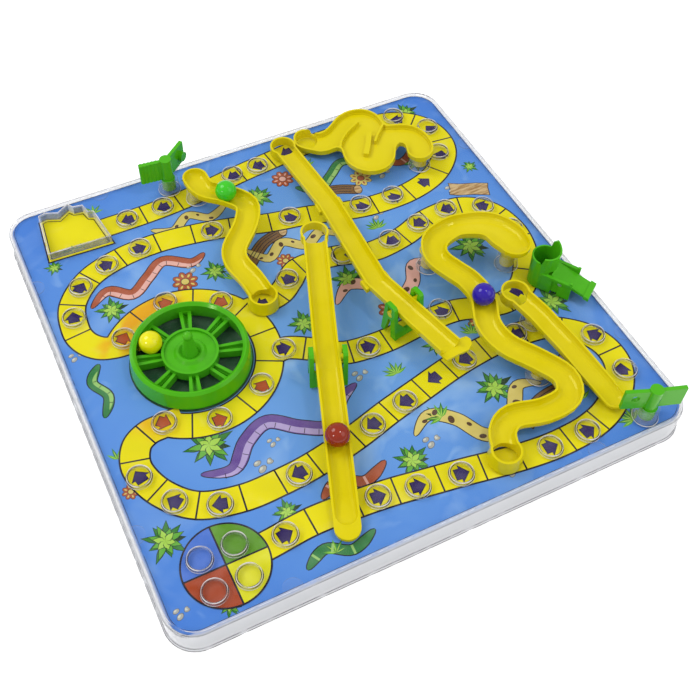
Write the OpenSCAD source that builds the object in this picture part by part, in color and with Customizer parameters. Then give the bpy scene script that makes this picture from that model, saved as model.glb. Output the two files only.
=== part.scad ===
// Snakes and ladders board with rolling balls. A clear cover over a printed card
// carries winding slides, tipping ladders, a spinner, two bats and a ball flicker.
// Sizes are in millimetres, +Z is up, and the board stands on z = 0 with its
// centre over the origin. The side nearest the player faces -Y.

/* [Board] */
// Width and depth of the clear cover
cover_w = 286; // [240:1:360]
// Height of the printed card's face above the table
deck_h = 14.5; // [10:0.5:25]
// Thickness of the cover's side walls
cover_wall = 1.6; // [1:0.1:3]
// Thickness of the cover's flat top
plate_t = 1.2; // [0.8:0.1:2]
// Width of the round bead along the cover's top edge
bead_w = 3.2; // [2.4:0.1:5]
// Height of the bead above the cover's flat top
bead_rise = 1.4; // [0.8:0.1:3]
// Radius of the cover's corners
corner_r = 16; // [8:1:30]
// How far the cover's foot stands out
foot_out = 0.7; // [0.3:0.1:2]
// Height of the cover's foot
foot_h = 1.5; // [1:0.1:4]
// Radius of the half round snap bosses inside the bead
snap_r = 5; // [3:0.5:8]
// Thickness of the printed card
card_t = 0.6; // [0.3:0.1:1.2]
// Thickness of the base tray's panels and ribs
tray_t = 1.6; // [1:0.1:3]

/* [Cell rings] */
// Outer width of a cell ring at its foot
ring_d = 13.4; // [9:0.1:18]
// Wall of a cell ring
ring_wall = 1.1; // [0.8:0.1:2]
// Height of a cell ring
ring_h = 2.1; // [1:0.1:4]

/* [Slides and ladders] */
// Diameter of a ball
ball_d = 12.5; // [10:0.1:15]
// Outer width of a ladder's channel
ladder_w = 13.2; // [12:0.1:18]
// Outer width of a slide's channel
slide_w = 14.2; // [12:0.1:20]
// Wall of a channel
channel_wall = 1.1; // [0.8:0.1:2]
// Depth of a channel
channel_depth = 4.6; // [3:0.1:8]
// Thickness of a channel's floor
channel_floor = 1.3; // [0.8:0.1:2]
// Outer width of the ring that drops a ball
drop_d = 16; // [14:0.1:22]
// Outer width of the clear posts at their foot
post_d = 13.6; // [9:0.1:18]
// Outer width of the clear posts at their mouth
post_top_d = 11.2; // [8:0.1:16]
// Height of the clear posts above the card
post_h = 10.4; // [6:0.1:16]
// Width of the pegs that stand in the clear posts
peg_d = 8.4; // [4:0.1:10]

/* [See-saws] */
// Height of the see-saws' pivots above the card
pivot_h = 17.6; // [14:0.1:24]
// Width of the trunnions that a ladder turns on
trunnion_d = 4; // [2:0.1:6]
// Inner width of a see-saw bracket
bracket_gap = 15; // [13:0.1:22]
// Thickness of a bracket's plates
bracket_t = 2.5; // [1.5:0.1:4]
// Depth of a bracket from front to back
bracket_len = 15; // [10:0.5:24]

/* [Spinner] */
// Outer width of the spinner at its foot
spinner_d = 65; // [50:1:80]
// Outer width of the spinner at its top
spinner_top_d = 62.8; // [48:0.2:80]
// Height of the spinner's rim above the card
spinner_h = 12.6; // [8:0.1:20]
// Thickness of the spinner's rim
rim_t = 3.4; // [1.5:0.1:5]
// Outer width of the raised disc in the spinner's middle
hub_d = 30.4; // [20:0.2:40]
// Height of the disc's edge above the card
hub_h = 8.6; // [5:0.1:14]
// Height of the finger knob above the card
knob_h = 23.4; // [16:0.1:32]
// Width of the knob's round tip
knob_d = 5.2; // [4:0.1:9]
// Number of ball pockets
pockets = 8; // [4:1:8]
// Width of the pin that the spinner turns on
spindle_d = 4; // [3:0.1:5]

/* [Bats] */
// Height of a bat's blades above the card at their foot
bat_foot_h = 10.8; // [8:0.1:14]
// Height of a bat's blades above the card at their top
bat_top_h = 24.6; // [18:0.1:34]
// Length of a blade from the bat's centre
bat_reach = 15.8; // [10:0.1:22]
// Thickness of a blade
bat_t = 2.2; // [1.4:0.1:4]
// Width of a bat's round stem
bat_stem_d = 7; // [5:0.1:10]

/* [Flicker] */
// Outer width of the flicker's cup at its top
cup_d = 16; // [15.4:0.1:26]
// Wall of the cup
cup_wall = 1.1; // [0.8:0.1:3]
// Height of the cup's low side above the card
cup_low_h = 21; // [16:0.1:30]
// Height of the cup's tall side above the card
cup_tall_h = 25.2; // [18:0.1:34]
// Height of the cup's peak above the card
cup_peak_h = 28; // [20:0.1:40]
// Length of the flicker's side arms from the cup's centre
arm_len = 19.5; // [14:0.1:36]
// Thickness of the side arms
arm_t = 1.5; // [1:0.1:3]
// Height of the side arms above the card
arm_h = 13; // [8:0.1:18]
// Length of the finger lever from the cup's centre to its end
lever_len = 30; // [20:0.1:44]
// Thickness of the lever
lever_t = 1.8; // [1:0.1:3]
// Distance of the lever's pin from the cup's centre
pin_reach = 12.7; // [10:0.1:20]
// Width of the pin that the lever turns on
pin_d = 2.4; // [1.4:0.1:4]

/* [Hidden] */

clear_plastic = [0.84, 0.88, 0.94, 0.5];
yellow_plastic = [0.93, 0.86, 0.05];
green_plastic = [0.33, 0.7, 0.12];

// Overrun that carries a cut clear of a face
over = 1;
// Gap that lets one piece lie on another without overlap
gap = 0.2;
// Running gap of a pin in its hole, on the radius
run_gap = 0.06;
$fn = 48;

card_w = cover_w - 2 * bead_w + 2 * (bead_w - cover_wall) - 2 * gap;
view_w = cover_w - 2 * bead_w;
plate_z = deck_h + plate_t;
rim_z = plate_z + bead_rise;
// One step of the layout grid: the visible card is 28 steps wide
step = view_w / 28;
ring_taper = ring_wall / 2;
grip = ball_d / 8;

// A height given above the card, as a height above the table
function above(h) = deck_h + h;
function mix(a, b, t) = a + (b - a) * t;

// A smooth curve through a list of points of any size, with n points for each span
function curve(p, n) = [
    for (i = [0 : len(p) - 2], k = [0 : n - 1])
        let (t = k / n, a = p[max(i - 1, 0)], b = p[i], c = p[i + 1], d = p[min(i + 2, len(p) - 1)])
        b + (c - a) * t / 2 + (2 * a - 5 * b + 4 * c - d) * t * t / 2
            + (3 * b - a - 3 * c + d) * t * t * t / 2,
    p[len(p) - 1]];

// The level direction across a path at point i, as a unit vector
function across(p, i) =
    let (a = p[max(i - 1, 0)], b = p[min(i + 1, len(p) - 1)], d = [b[0] - a[0], b[1] - a[1]])
    [-d[1], d[0]] / norm(d);

// A piece at a place of the layout grid, turned about its own upright axis
module at(place_share, h = 0, turn = 0) {
    translate([place_share[0] * step, place_share[1] * step, above(h)]) rotate([0, 0, turn]) children();
}

module rounded_plan(w, r) {
    square([w - 2 * r, w], center = true);
    square([w, w - 2 * r], center = true);
    for (x = [-1, 1], y = [-1, 1]) translate([x, y] * (w / 2 - r)) circle(r);
}

module rounded_block(w, r, low, high) {
    translate([0, 0, low]) linear_extrude(high - low) rounded_plan(w, r);
}

// Turns in degrees at which a lower corner of a bar is drawn
corner_turns = [0, 25, 50, 72, 90];
bar_points = 2 * len(corner_turns) + 2;

// The cross section of a bar of half width w, with round lower corners
function bar_section(w, low, high, corner) = concat([[w, high]],
    [for (a = corner_turns) [w - corner * (1 - cos(a)), low + corner * (1 - sin(a))]],
    [for (a = reversed(corner_turns)) [corner * (1 - cos(a)) - w, low + corner * (1 - sin(a))]],
    [[-w, high]]);

// A solid bar swept along points of [x, y, top z, width, height], with its two
// lower corners rounded over corner, and carried up by lift above its top
module swept_bar(path, corner, lift = 0, corner_depth_share = 0) {
    n = len(path);
    m = bar_points;
    points = [
        for (i = [0 : n - 1])
            let (s = across(path, i), w = path[i][3] / 2, top = path[i][2],
                most = corner_depth_share > 0 ? min(corner, path[i][4] * corner_depth_share) : corner)
            for (q = bar_section(w, top - path[i][4], top + lift, min(most, w * 0.9)))
            [path[i][0] + s[0] * q[0], path[i][1] + s[1] * q[0], q[1]]];
    faces = [
        [for (k = [m - 1 : -1 : 0]) k],
        [for (k = [0 : m - 1]) (n - 1) * m + k],
        for (i = [0 : n - 2], k = [0 : m - 1])
            let (a = i * m + k, b = i * m + (k + 1) % m)
            each [[a, b, a + m], [b, b + m, a + m]]];
    polyhedron(points, faces, convexity = 8);
}

// Path points from a table of [x step, y step, share of the drop, share of the width]
function stations(shares, top, end, w, tall) = [
    for (s = shares) [s[0] * step, s[1] * step, above(mix(end, top, s[2])), s[3] * w, tall]];

// The same path drawn in by a wall on each side, with its floor raised
function drawn_in(path, wall, floor_t) = [
    for (p = path) [p[0], p[1], p[2], p[3] - 2 * wall, p[4] - floor_t]];

// Rounding of a channel's lower corners, outside and inside
outer_corner = channel_depth * 0.75;
inner_corner = channel_depth * 0.7;
// Turns in degrees at which a closed end is drawn round
end_turns = [20, 40, 58, 73, 84];

// The stations that round one end of a path off, from the end station outwards
function end_stations(path, i, sign, corner) =
    let (p = path[i], s = across(path, i))
    [for (a = end_turns) [p[0] + sign * s[1] * sin(a) * p[3] / 2, p[1] - sign * s[0] * sin(a) * p[3] / 2,
        p[2], p[3] * cos(a), p[4] - corner * (1 - cos(a))]];

function reversed(list) = [for (i = [len(list) - 1 : -1 : 0]) list[i]];

function round_last(path, corner) = concat(path, end_stations(path, len(path) - 1, 1, corner));

function round_both(path, corner) = concat(reversed(end_stations(path, 0, -1, corner)),
    round_last(path, corner));

// The same path with one more station, straight on by a length
function carried_on(path, by) =
    let (a = path[len(path) - 2], b = path[len(path) - 1], d = [b[0] - a[0], b[1] - a[1]],
        t = by / norm(d))
    concat(path, [[b[0] + d[0] * t, b[1] + d[1] * t, b[2] + (b[2] - a[2]) * t, b[3], b[4]]]);

// The same path with its inner stations slid along it, so that no cut ends on a bend's own line
function slid(path, by) = [
    for (i = [0 : len(path) - 1])
        let (s = across(path, i), k = (i > 0 && i < len(path) - 1) ? by : 0)
        [path[i][0] + s[1] * k, path[i][1] - s[0] * k, path[i][2], path[i][3], path[i][4]]];

// An open channel along a path, closed and round at its start and end
module channel(path, wall, floor_t) {
    difference() {
        union() {
            swept_bar(round_both(path, outer_corner), outer_corner);
            children();
        }
        swept_bar(round_both(drawn_in(path, wall, floor_t), inner_corner), inner_corner, 4 * over);
    }
}

module cover() {
    color(clear_plastic) {
        difference() {
            union() {
                rounded_block(cover_w, corner_r, 0, rim_z - bead_w / 2);
                rounded_block(cover_w + 2 * foot_out, corner_r + foot_out, 0, foot_h);
                bead();
            }
            rounded_block(view_w, corner_r - bead_w, plate_z, rim_z + over);
            rounded_block(cover_w - 2 * cover_wall, corner_r - cover_wall, -over, deck_h);
        }
        snap_bosses();
    }
}

// The round bead along the top edge: four straight runs and four corners
module bead() {
    side = cover_w / 2 - corner_r;
    path_r = corner_r - bead_w / 2;
    for (a = [0 : 90 : 270]) rotate([0, 0, a]) {
        translate([cover_w / 2 - bead_w / 2, 0, rim_z - bead_w / 2]) rotate([90, 0, 0])
            cylinder(d = bead_w, h = 2 * side, center = true);
        translate([side, side, rim_z - bead_w / 2]) rotate_extrude(angle = 90)
            translate([path_r, 0]) circle(d = bead_w);
    }
}

snap_place_share = 0.6;

module snap_bosses() {
    inside = view_w / 2;
    for (a = [0 : 90 : 270], y = [-1, 1]) rotate([0, 0, a])
        translate([inside, y * inside * snap_place_share, plate_z - plate_t / 2])
            intersection() {
                cylinder(r = snap_r, h = (plate_t + bead_rise) / 2 + plate_t / 4);
                translate([-2 * snap_r, -snap_r, 0]) cube([2 * snap_r + bead_w / 4, 2 * snap_r, rim_z]);
            }
}

module printed_card() {
    color([0.42, 0.62, 0.9]) rounded_block(card_w, corner_r - cover_wall - gap, deck_h - card_t, deck_h);
}

tray_ribs = 5;
tray_rib_h = 1.5 * tray_t;

// The hidden tray that holds the card up: a panel on a rim, open below, with low ribs across it
module base_tray() {
    top = deck_h - card_t;
    color([0.9, 0.9, 0.9]) {
        difference() {
            rounded_block(card_w, corner_r - cover_wall - gap, gap, top);
            rounded_block(card_w - 2 * tray_t, corner_r - cover_wall - gap - tray_t, gap - over, top - tray_t);
        }
        for (a = [0, 90], i = [1 : tray_ribs]) rotate([0, 0, a])
            translate([card_w * (i / (tray_ribs + 1) - 0.5), 0, top - tray_t - tray_rib_h / 2])
                cube([tray_t, card_w - 2 * tray_t + gap, tray_rib_h], center = true);
    }
}

// Places of the cell rings on the layout grid: first the four of the start circle
ring_shares = [
    [-11.72, -10.87], [-9.97, -10.85], [-11.7, -12.63], [-9.97, -12.62],
    [-7.61, -11.43], [-2.73, -11.54], [-0.72, -11.89], [1.56, -12.19], [6.36, -12.8],
    [8.6, -12.82], [12.6, -10.48], [12.41, -7.82], [8.6, -5.95], [5.24, -6.25], [1.09, -7.26],
    [-1.07, -7.78], [-5.65, -8.75], [-9.78, -8.62], [-11.71, -7.53], [-12.8, -5.54],
    [-10.59, -3.09], [-7.95, -4.09], [-5.17, -3.05], [-3.16, -1.45], [0.99, -3.3], [5.78, -2.67],
    [12.7, 0.9], [12.1, 3.17], [9.93, 3.92], [7.85, 3.59], [5.73, 3.17], [2.67, 3.22],
    [-0.95, 2.97], [-4.98, 3.02], [-7.78, 4.33], [-10.69, 2.91],
    [-12.69, 5.43], [-11.69, 7.4], [-9.83, 8.36], [-7.7, 8.81], [-3.39, 8.25], [1.21, 7.36],
    [5.49, 6.45], [7.6, 6.32], [12.01, 8.44], [12.54, 10.81], [11.03, 12.65],
    [1.21, 12.18], [-0.52, 12.13], [-5.33, 11.38], [-7.59, 11.3]];

module cell_ring() {
    r = ring_d / 2;
    rotate_extrude() polygon([[r - ring_wall, 0], [r, 0], [r - ring_taper, ring_h],
        [r - ring_wall - ring_taper / 4, ring_h]]);
}

module cell_rings() {
    color(clear_plastic) for (s = ring_shares) at(s, plate_t) cell_ring();
}

// Clear posts: place on the layout grid, and height as a share of the tallest
back_post_shares = [[-3.18, 11.2, 1]];
long_post_shares = [[10.9, -1.35, 1], [6.75, 0.45, 1], [8.24, -8.8, 0.68]];
coil_post_shares = [[8.3, 12.2, 0.5], [10.4, 8, 0.78]];
short_post_shares = [[9.95, -5.6, 0.62]];
bat_post_shares = [[-4.4, 12.7, 1], [11.82, -13.3, 1]];
post_shares = concat(back_post_shares, long_post_shares, coil_post_shares, short_post_shares, bat_post_shares);
post_floor = 1.5;

module slide_post(tall_share) {
    h = post_h * tall_share - plate_t;
    difference() {
        cylinder(d1 = post_d, d2 = mix(post_d, post_top_d, tall_share), h = h);
        translate([0, 0, post_floor]) cylinder(d = peg_d + 2 * run_gap, h = h);
    }
}

module slide_posts() {
    color(clear_plastic) for (s = post_shares) at(s, plate_t) slide_post(s[2]);
}

// A peg under a slide that stands in its clear post and reaches up to top
module peg(post_share, top) {
    low = plate_t + post_floor + gap;
    mouth = post_h * post_share[2] + gap;
    at(post_share, low) cylinder(d = peg_d, h = top - low);
    at(post_share, mouth) cylinder(d1 = peg_d, d2 = peg_d + 2 * grip, h = top - mouth);
}

// The clear wall round the finish, on the layout grid
finish_shares = [[-12.65, 10.15], [-8.95, 10.0], [-9.25, 12.35], [-9.55, 12.5], [-9.7, 13.1],
    [-10.25, 13.2], [-10.5, 13.55], [-11.2, 13.1], [-11.9, 13.4], [-12.3, 13.3]];
finish_h = 5;

module finish_wall() {
    plan = [for (s = finish_shares) s * step];
    centre = [for (k = [0, 1]) (plan[0][k] + plan[1][k] + plan[5][k] + plan[8][k]) / 4];
    inner_share = 1 - 2 * ring_wall / (plan[1][0] - plan[0][0]);
    color(clear_plastic) translate([0, 0, plate_z]) linear_extrude(finish_h) difference() {
        polygon(plan);
        translate(centre) scale(inner_share) translate(-centre) polygon(plan);
    }
}

// Back slide: a short snake from its head down to the drop ring
back_slide_top = 18.4;
back_slide_end = 9;
back_slide_shares = [[-3.15, 11.25, 1, 1.05], [-2.95, 10.2, 0.92, 1], [-1.95, 9.35, 0.82, 1],
    [-1.15, 8.2, 0.7, 1], [-1.75, 6.9, 0.56, 1], [-3.0, 5.6, 0.42, 1], [-3.3, 4.6, 0.3, 1],
    [-3.0, 3.3, 0.14, 1], [-2.85, 1.95, 0, 1]];
slide_steps = 4;

function back_path() = curve(stations(back_slide_shares, back_slide_top, back_slide_end, slide_w,
    channel_depth + channel_floor), slide_steps);

module back_slide() {
    path = back_path();
    color(yellow_plastic) difference() {
        channel(path, channel_wall, channel_floor) {
            drop_collar(path[len(path) - 1], back_slide_end);
            peg(back_post_shares[0], back_slide_top - channel_depth - channel_floor / 2);
        }
        drop_hole(path[len(path) - 1], back_slide_end);
    }
}

// The flared collar that guides a ball from a slide down to its cell
module drop_collar(p, end) {
    low = plate_t + gap;
    translate([p[0], p[1], above(low)])
        cylinder(d1 = drop_d + 2 * channel_wall, d2 = drop_d, h = end + gap - low);
}

module drop_hole(p, end) {
    translate([p[0], p[1], above(0)]) cylinder(d = drop_d - 2 * channel_wall - gap, h = end + over);
}

// Long slide: a wide head, a bend over the board's right side and a long tail
long_slide_top = 25;
long_slide_end = 9.4;
long_slide_shares = [[10.79, -1.8, 0.968, 1.33], [10.73, -1.15, 0.96, 1.5], [10.52, -0.3, 0.93, 1.4],
    [10.08, 0.3, 0.88, 1.3], [9.36, 0.75, 0.81, 1.18], [8.49, 1.0, 0.745, 1.1], [7.3, 0.72, 0.69, 1.1],
    [6.75, 0.0, 0.655, 1.01], [6.74, -0.75, 0.61, 1], [7.14, -1.7, 0.56, 1], [7.52, -2.6, 0.51, 1],
    [7.6, -3.9, 0.46, 1], [7.0, -5.45, 0.38, 1], [7.18, -7.0, 0.33, 1], [8.15, -8.5, 0.28, 1],
    [8.88, -9.95, 0.23, 1], [8.4, -11.05, 0.17, 1], [6.9, -11.2, 0.11, 1], [5.3, -10.8, 0.06, 1],
    [4.35, -11.3, 0.03, 1], [3.95, -12.35, 0, 1]];

function long_path() = curve(stations(long_slide_shares, long_slide_top, long_slide_end, slide_w,
    channel_depth + channel_floor), slide_steps);

module long_slide() {
    path = long_path();
    last = path[len(path) - 1];
    under = channel_depth + channel_floor / 2;
    color(yellow_plastic) difference() {
        channel(path, channel_wall, channel_floor) {
            drop_collar(last, long_slide_end);
            peg(long_post_shares[0], mix(long_slide_end, long_slide_top, 0.97) - under);
            peg(long_post_shares[1], mix(long_slide_end, long_slide_top, 0.66) - under);
            peg(long_post_shares[2], mix(long_slide_end, long_slide_top, 0.27) - under);
        }
        drop_hole(last, long_slide_end);
    }
}

// Coil slide: a shallow tray that tips towards its drop ring. Its outline runs
// from the ring along the near side, round the bowl and the head, and back
coil_end = 7.3;
coil_tilt = 6.8;
coil_tall = 4.4;
coil_drop_share = [4.81, 12.65];
coil_outline_shares = [
    [4.08, 12.95], [4.05, 12.4], [4.28, 11.95], [4.68, 11.5], [5.1, 11.1], [5.6, 10.93], [6.1, 10.9], [6.3, 10.6],
    [6.17, 10.0], [6.15, 9.3], [6.42, 8.6], [6.9, 8.05], [7.55, 7.78], [8.25, 7.85], [8.85, 8.3],
    [9.25, 8.95], [9.65, 9.2], [9.86, 8.85], [9.66, 8.15], [9.85, 7.55], [10.4, 7.26], [11.05, 7.5],
    [11.42, 8.3], [11.42, 9.2], [11.1, 10.05], [10.4, 10.65], [9.7, 11.0], [9.62, 11.5], [9.62, 12.05],
    [9.42, 12.6], [9.05, 13.05], [8.5, 13.35], [7.9, 13.43], [7.3, 13.28], [6.8, 12.98], [6.35, 12.72],
    [5.9, 12.62], [5.55, 12.75], [5.3, 13.2], [4.9, 13.48], [4.4, 13.4]];
coil_curl_shares = [[6.25, 10.6], [6.5, 11.1], [6.95, 11.55], [7.45, 11.87], [7.95, 12.08], [8.3, 12.25]];
coil_lip_shares = [[9.66, 11.3], [9.25, 10.95], [8.8, 10.55], [8.4, 10.12]];
coil_fin_shares = [[8.46, 11.0], [8.15, 10.5], [7.8, 9.95], [7.42, 9.45]];

// The unit vector that points out of a closed outline at point i
function outward(p, i) =
    let (n = len(p), a = p[(i + n - 1) % n], b = p[(i + 1) % n], d = b - a)
    [d[1], -d[0]] / norm(d);

// The coil slide's outline, drawn in by inset all round
function coil_plan(inset) =
    let (c = coil_outline_shares, n = len(c),
        p = curve([for (i = [-1 : n + 1]) c[(i + n) % n] * step], 2),
        q = [for (i = [2 : len(p) - 4]) p[i]])
    [for (i = [0 : len(q) - 1]) q[i] - outward(q, i) * inset];

// A flat band of even width along a curve, as plan points
function band(shares, w) =
    let (p = curve([for (s = shares) s * step], 3), n = len(p))
    concat([for (i = [0 : n - 1]) p[i] + across(p, i) * w / 2],
        [for (i = [n - 1 : -1 : 0]) p[i] - across(p, i) * w / 2]);

module coil_layer(inset, low, high) {
    translate([0, 0, low]) linear_extrude(high - low) polygon(coil_plan(inset));
}

module coil_tray() {
    edge = channel_floor;
    difference() {
        union() {
            coil_layer(edge, 0, edge * 0.4);
            coil_layer(edge * 0.45, edge * 0.35, edge);
            coil_layer(0, edge * 0.95, coil_tall);
        }
        difference() {
            union() {
                coil_layer(channel_wall, channel_floor * 1.5, coil_tall + over);
                coil_layer(channel_wall * 1.6, channel_floor, channel_floor * 1.6);
            }
            linear_extrude(coil_tall) polygon(band(coil_curl_shares, channel_wall * 1.2));
            linear_extrude(coil_tall) polygon(band(coil_lip_shares, channel_wall * 1.2));
            linear_extrude(coil_tall) polygon(band(coil_fin_shares, 3 * channel_wall));
        }
    }
}

module coil_slide() {
    hole_d = drop_d - 2 * channel_wall - gap;
    color(yellow_plastic) difference() {
        union() {
            at(coil_drop_share, coil_end - coil_tall) rotate([0, -coil_tilt, 0])
                translate(-coil_drop_share * step) coil_tray();
            at(coil_drop_share, plate_t + gap) cylinder(d = drop_d, h = coil_end - coil_tall);
            for (s = coil_post_shares) peg(s, coil_floor_h(s));
        }
        at(coil_drop_share) cylinder(d = hole_d, h = coil_end + over);
    }
}

// Height of the tipped tray's floor above the card over a place of the grid
function coil_floor_h(place_share) = coil_end - coil_tall + channel_floor / 2
    + (place_share[0] - coil_drop_share[0]) * step * tan(coil_tilt);

// Short ladder on the right: a straight channel that falls towards the front
short_top = 13.4;
short_end = 5.4;
short_foot_share = [10.55, -10.2];
short_shares = [[9.6, -4.1, 1, 1], [9.95, -5.9, 0.99, 1], [10.2, -8.2, 0.95, 1], [10.85, -11.9, 0, 1]];

short_turn = -82;

module short_ladder() {
    all = stations(short_shares, short_top, short_end, ladder_w, channel_depth + channel_floor);
    last = all[len(all) - 1];
    low = plate_t + gap;
    path = concat([for (i = [0 : len(all) - 2]) all[i]],
        [[last[0], last[1], last[2], last[3], last[2] - above(low)]]);
    color(yellow_plastic) difference() {
        channel(path, channel_wall, channel_floor) {
            drop_ring(path[0]);
            peg(short_post_shares[0], short_top - channel_depth - channel_floor / 2);
            at(short_foot_share, low)
                cylinder(d = peg_d, h = mix(short_end, short_top, 0.45) - channel_depth - channel_floor / 2 - low);
        }
        ring_hole(path[0], short_turn);
    }
}

// The ring at a ladder's high end and the hole that the ball falls through
module drop_ring(p) {
    translate([p[0], p[1], p[2] - p[4]]) cylinder(d = drop_d, h = p[4]);
}

drop_chord_share = 0.28;

// The hole is a circle cut off straight where the channel's floor ends
module ring_hole(p, turn) {
    translate([p[0], p[1], p[2] - p[4] - over]) intersection() {
        cylinder(d = drop_d - 2 * channel_wall - gap, h = p[4] + 2 * over);
        rotate([0, 0, turn]) translate([-drop_d, -drop_d / 2, 0])
            cube([drop_d * (1 + drop_chord_share), drop_d, p[4] + 2 * over]);
    }
}

// Tipping ladders: the pivot's place, the turn of the pivot and the channel's stations
left_pivot_share = [-1.82, -4.06];
left_turn = 70.2;
left_ladder_top = 22.5;
left_ladder_end = 4.2;
left_shares = [[1.18, 3.87, 1, 1], [-1.5, -3.1, 0.855, 1], [-2.0, -4.5, 0.835, 1], [-4.62, -11.85, 0.06, 1]];
left_tip_share = [-4.84, -12.45];
right_pivot_share = [3.36, -2.7];
right_turn = 100.3;
right_ladder_top = 23;
right_ladder_end = 7.6;
right_shares = [[3.15, 12.6, 0, 1], [3.42, 6.5, 0.27, 1], [2.94, -0.3, 0.62, 1], [4.06, -6.35, 1, 1]];
// Outline of the flat tongue at the right ladder's front end
tongue_shares = [[3.4, -6.0], [3.62, -6.85], [4.4, -6.77], [4.95, -6.76], [5.33, -6.5], [5.42, -6.15],
    [5.3, -5.93], [5.0, -5.9], [4.68, -6.1]];
lug_len = 7;
lug_out = 1.4;

module trunnions(pivot_share, turn) {
    at(pivot_share, pivot_h, turn) rotate([90, 0, 0])
        cylinder(d = trunnion_d, h = bracket_gap + 2 * bracket_t - 2 * gap, center = true);
}

// A pair of ribs that stand out from a ladder's sides at station i
module side_lugs(path, i) {
    s = across(path, i);
    reach = (path[i][3] + lug_out - channel_wall / 2) / 2;
    translate([path[i][0], path[i][1], path[i][2] - path[i][4] * 0.5])
        rotate([0, 0, atan2(s[1], s[0]) + 90]) for (y = [-reach, reach])
            translate([0, y, 0])
                cube([lug_len, lug_out + channel_wall / 2, path[i][4] * 0.5], center = true);
}

module left_ladder() {
    path = stations(left_shares, left_ladder_top, left_ladder_end, ladder_w, channel_depth + channel_floor);
    last = len(path) - 1;
    tip_h = left_ladder_end - gap;
    low = plate_t + gap;
    tip = [left_tip_share[0] * step, left_tip_share[1] * step, above(tip_h), ladder_w, tip_h - low];
    end_depth = path[last][2] - above(low);
    upper = path[last - 1];
    knee = upper + (path[last] - upper) * (upper[2] - upper[4] - above(low)) / (upper[2] - path[last][2]);
    run = concat([for (i = [0 : last - 1]) path[i]],
        [knee, [path[last][0], path[last][1], path[last][2], ladder_w, end_depth]]);
    body = concat(run, [tip]);
    end_corner = (end_depth - channel_floor) * 0.8;
    color(yellow_plastic) difference() {
        union() {
            swept_bar(round_last(body, channel_wall / 2), channel_wall / 2);
            drop_ring(path[0]);
            trunnions(left_pivot_share, left_turn);
        }
        swept_bar(round_last(drawn_in(run, channel_wall, channel_floor), end_corner), inner_corner, 4 * over, 0.9);
        ring_hole(path[0], left_turn + 180);
    }
}

module right_ladder() {
    path = stations(right_shares, right_ladder_top, right_ladder_end, ladder_w, channel_depth + channel_floor);
    color(yellow_plastic) {
        difference() {
            union() {
                swept_bar(path, outer_corner);
                drop_ring(path[0]);
                trunnions(right_pivot_share, right_turn);
                side_lugs(path, 1);
                side_lugs(path, 2);
            }
            swept_bar(slid(carried_on(drawn_in(path, channel_wall, channel_floor), over), gap), inner_corner, 4 * over);
            ring_hole(path[0], -90);
        }
        translate([0, 0, above(right_ladder_top - channel_depth - channel_floor - gap / 2)])
            linear_extrude(channel_floor) polygon(tongue_shares * step);
    }
}

// A see-saw bracket: two A-shaped plates, each with a closed slot, joined by a low plate
bracket_front_share = -0.43;
bracket_back_share = 0.39;

module bracket() {
    front = bracket_len * bracket_front_share;
    back = bracket_len * bracket_back_share;
    hook_r = trunnion_d / 2 + run_gap;
    top = pivot_h + 1.75 * trunnion_d;
    bar = 0.95 * trunnion_d;
    wide = bracket_gap + 2 * bracket_t;
    lean = atan2(trunnion_d * 0.65, pivot_h);
    web_t = bracket_t * 0.8;
    difference() {
        for (y = [-1, 1]) translate([0, y * (wide - bracket_t) / 2, 0]) rotate([90, 0, 0])
            translate([0, 0, -bracket_t / 2]) linear_extrude(bracket_t) difference() {
                polygon([[front, plate_t], [back, plate_t], [bar, top - trunnion_d * 0.3],
                    [bar - trunnion_d * 0.3, top], [trunnion_d * 0.3 - bar, top],
                    [-bar, top - trunnion_d * 0.3]]);
                polygon([[front + bracket_t * 1.5, plate_t - over], [back - bracket_t, plate_t - over],
                    [bracket_t * 0.1, pivot_h - trunnion_d * 0.9], [-bracket_t * 0.5, pivot_h - trunnion_d]]);
            }
        translate([0, 0, pivot_h]) rotate([90, 0, 0]) cylinder(r = hook_r, h = wide + over, center = true);
        translate([-hook_r * 0.75, -wide / 2 - over, pivot_h])
            cube([hook_r * 1.5, wide + 2 * over, top - trunnion_d * 0.4 - pivot_h]);
    }
    translate([front, 0, plate_t + web_t * sin(lean)]) rotate([0, lean, 0]) rotate([90, 0, 90]) linear_extrude(web_t)
        polygon([[bracket_t / 2 - wide / 2, 0], [wide / 2 - bracket_t / 2, 0],
            [wide / 2 - bracket_t / 2, pivot_h * 0.75], [bracket_t, pivot_h * 0.25],
            [-bracket_t, pivot_h * 0.25], [bracket_t / 2 - wide / 2, pivot_h * 0.75]]);
}

module left_bracket() {
    color(green_plastic) at(left_pivot_share, 0, left_turn) bracket();
}

module right_bracket() {
    color(green_plastic) at(right_pivot_share, 0, right_turn) bracket();
}

spinner_share = [-7.87, 0.13];
spoke_turn = 30;
spoke_hub_w = 4.8;
spoke_rim_w = 7;
spoke_h = 6.4;
groove_share = 0.4;
spindle_h = 15;
spoke_in = hub_d / 2 - rim_t / 2;
spoke_out = spinner_top_d / 2 - rim_t / 2;
knob_foot_d = 9;
hub_boss_d = 15;
fin_turn = -15;
fin_t = 1.4;

module spinner_spindle() {
    color([0.8, 0.82, 0.84]) at(spinner_share, plate_t) cylinder(d = spindle_d, h = spindle_h - plate_t);
}

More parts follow.
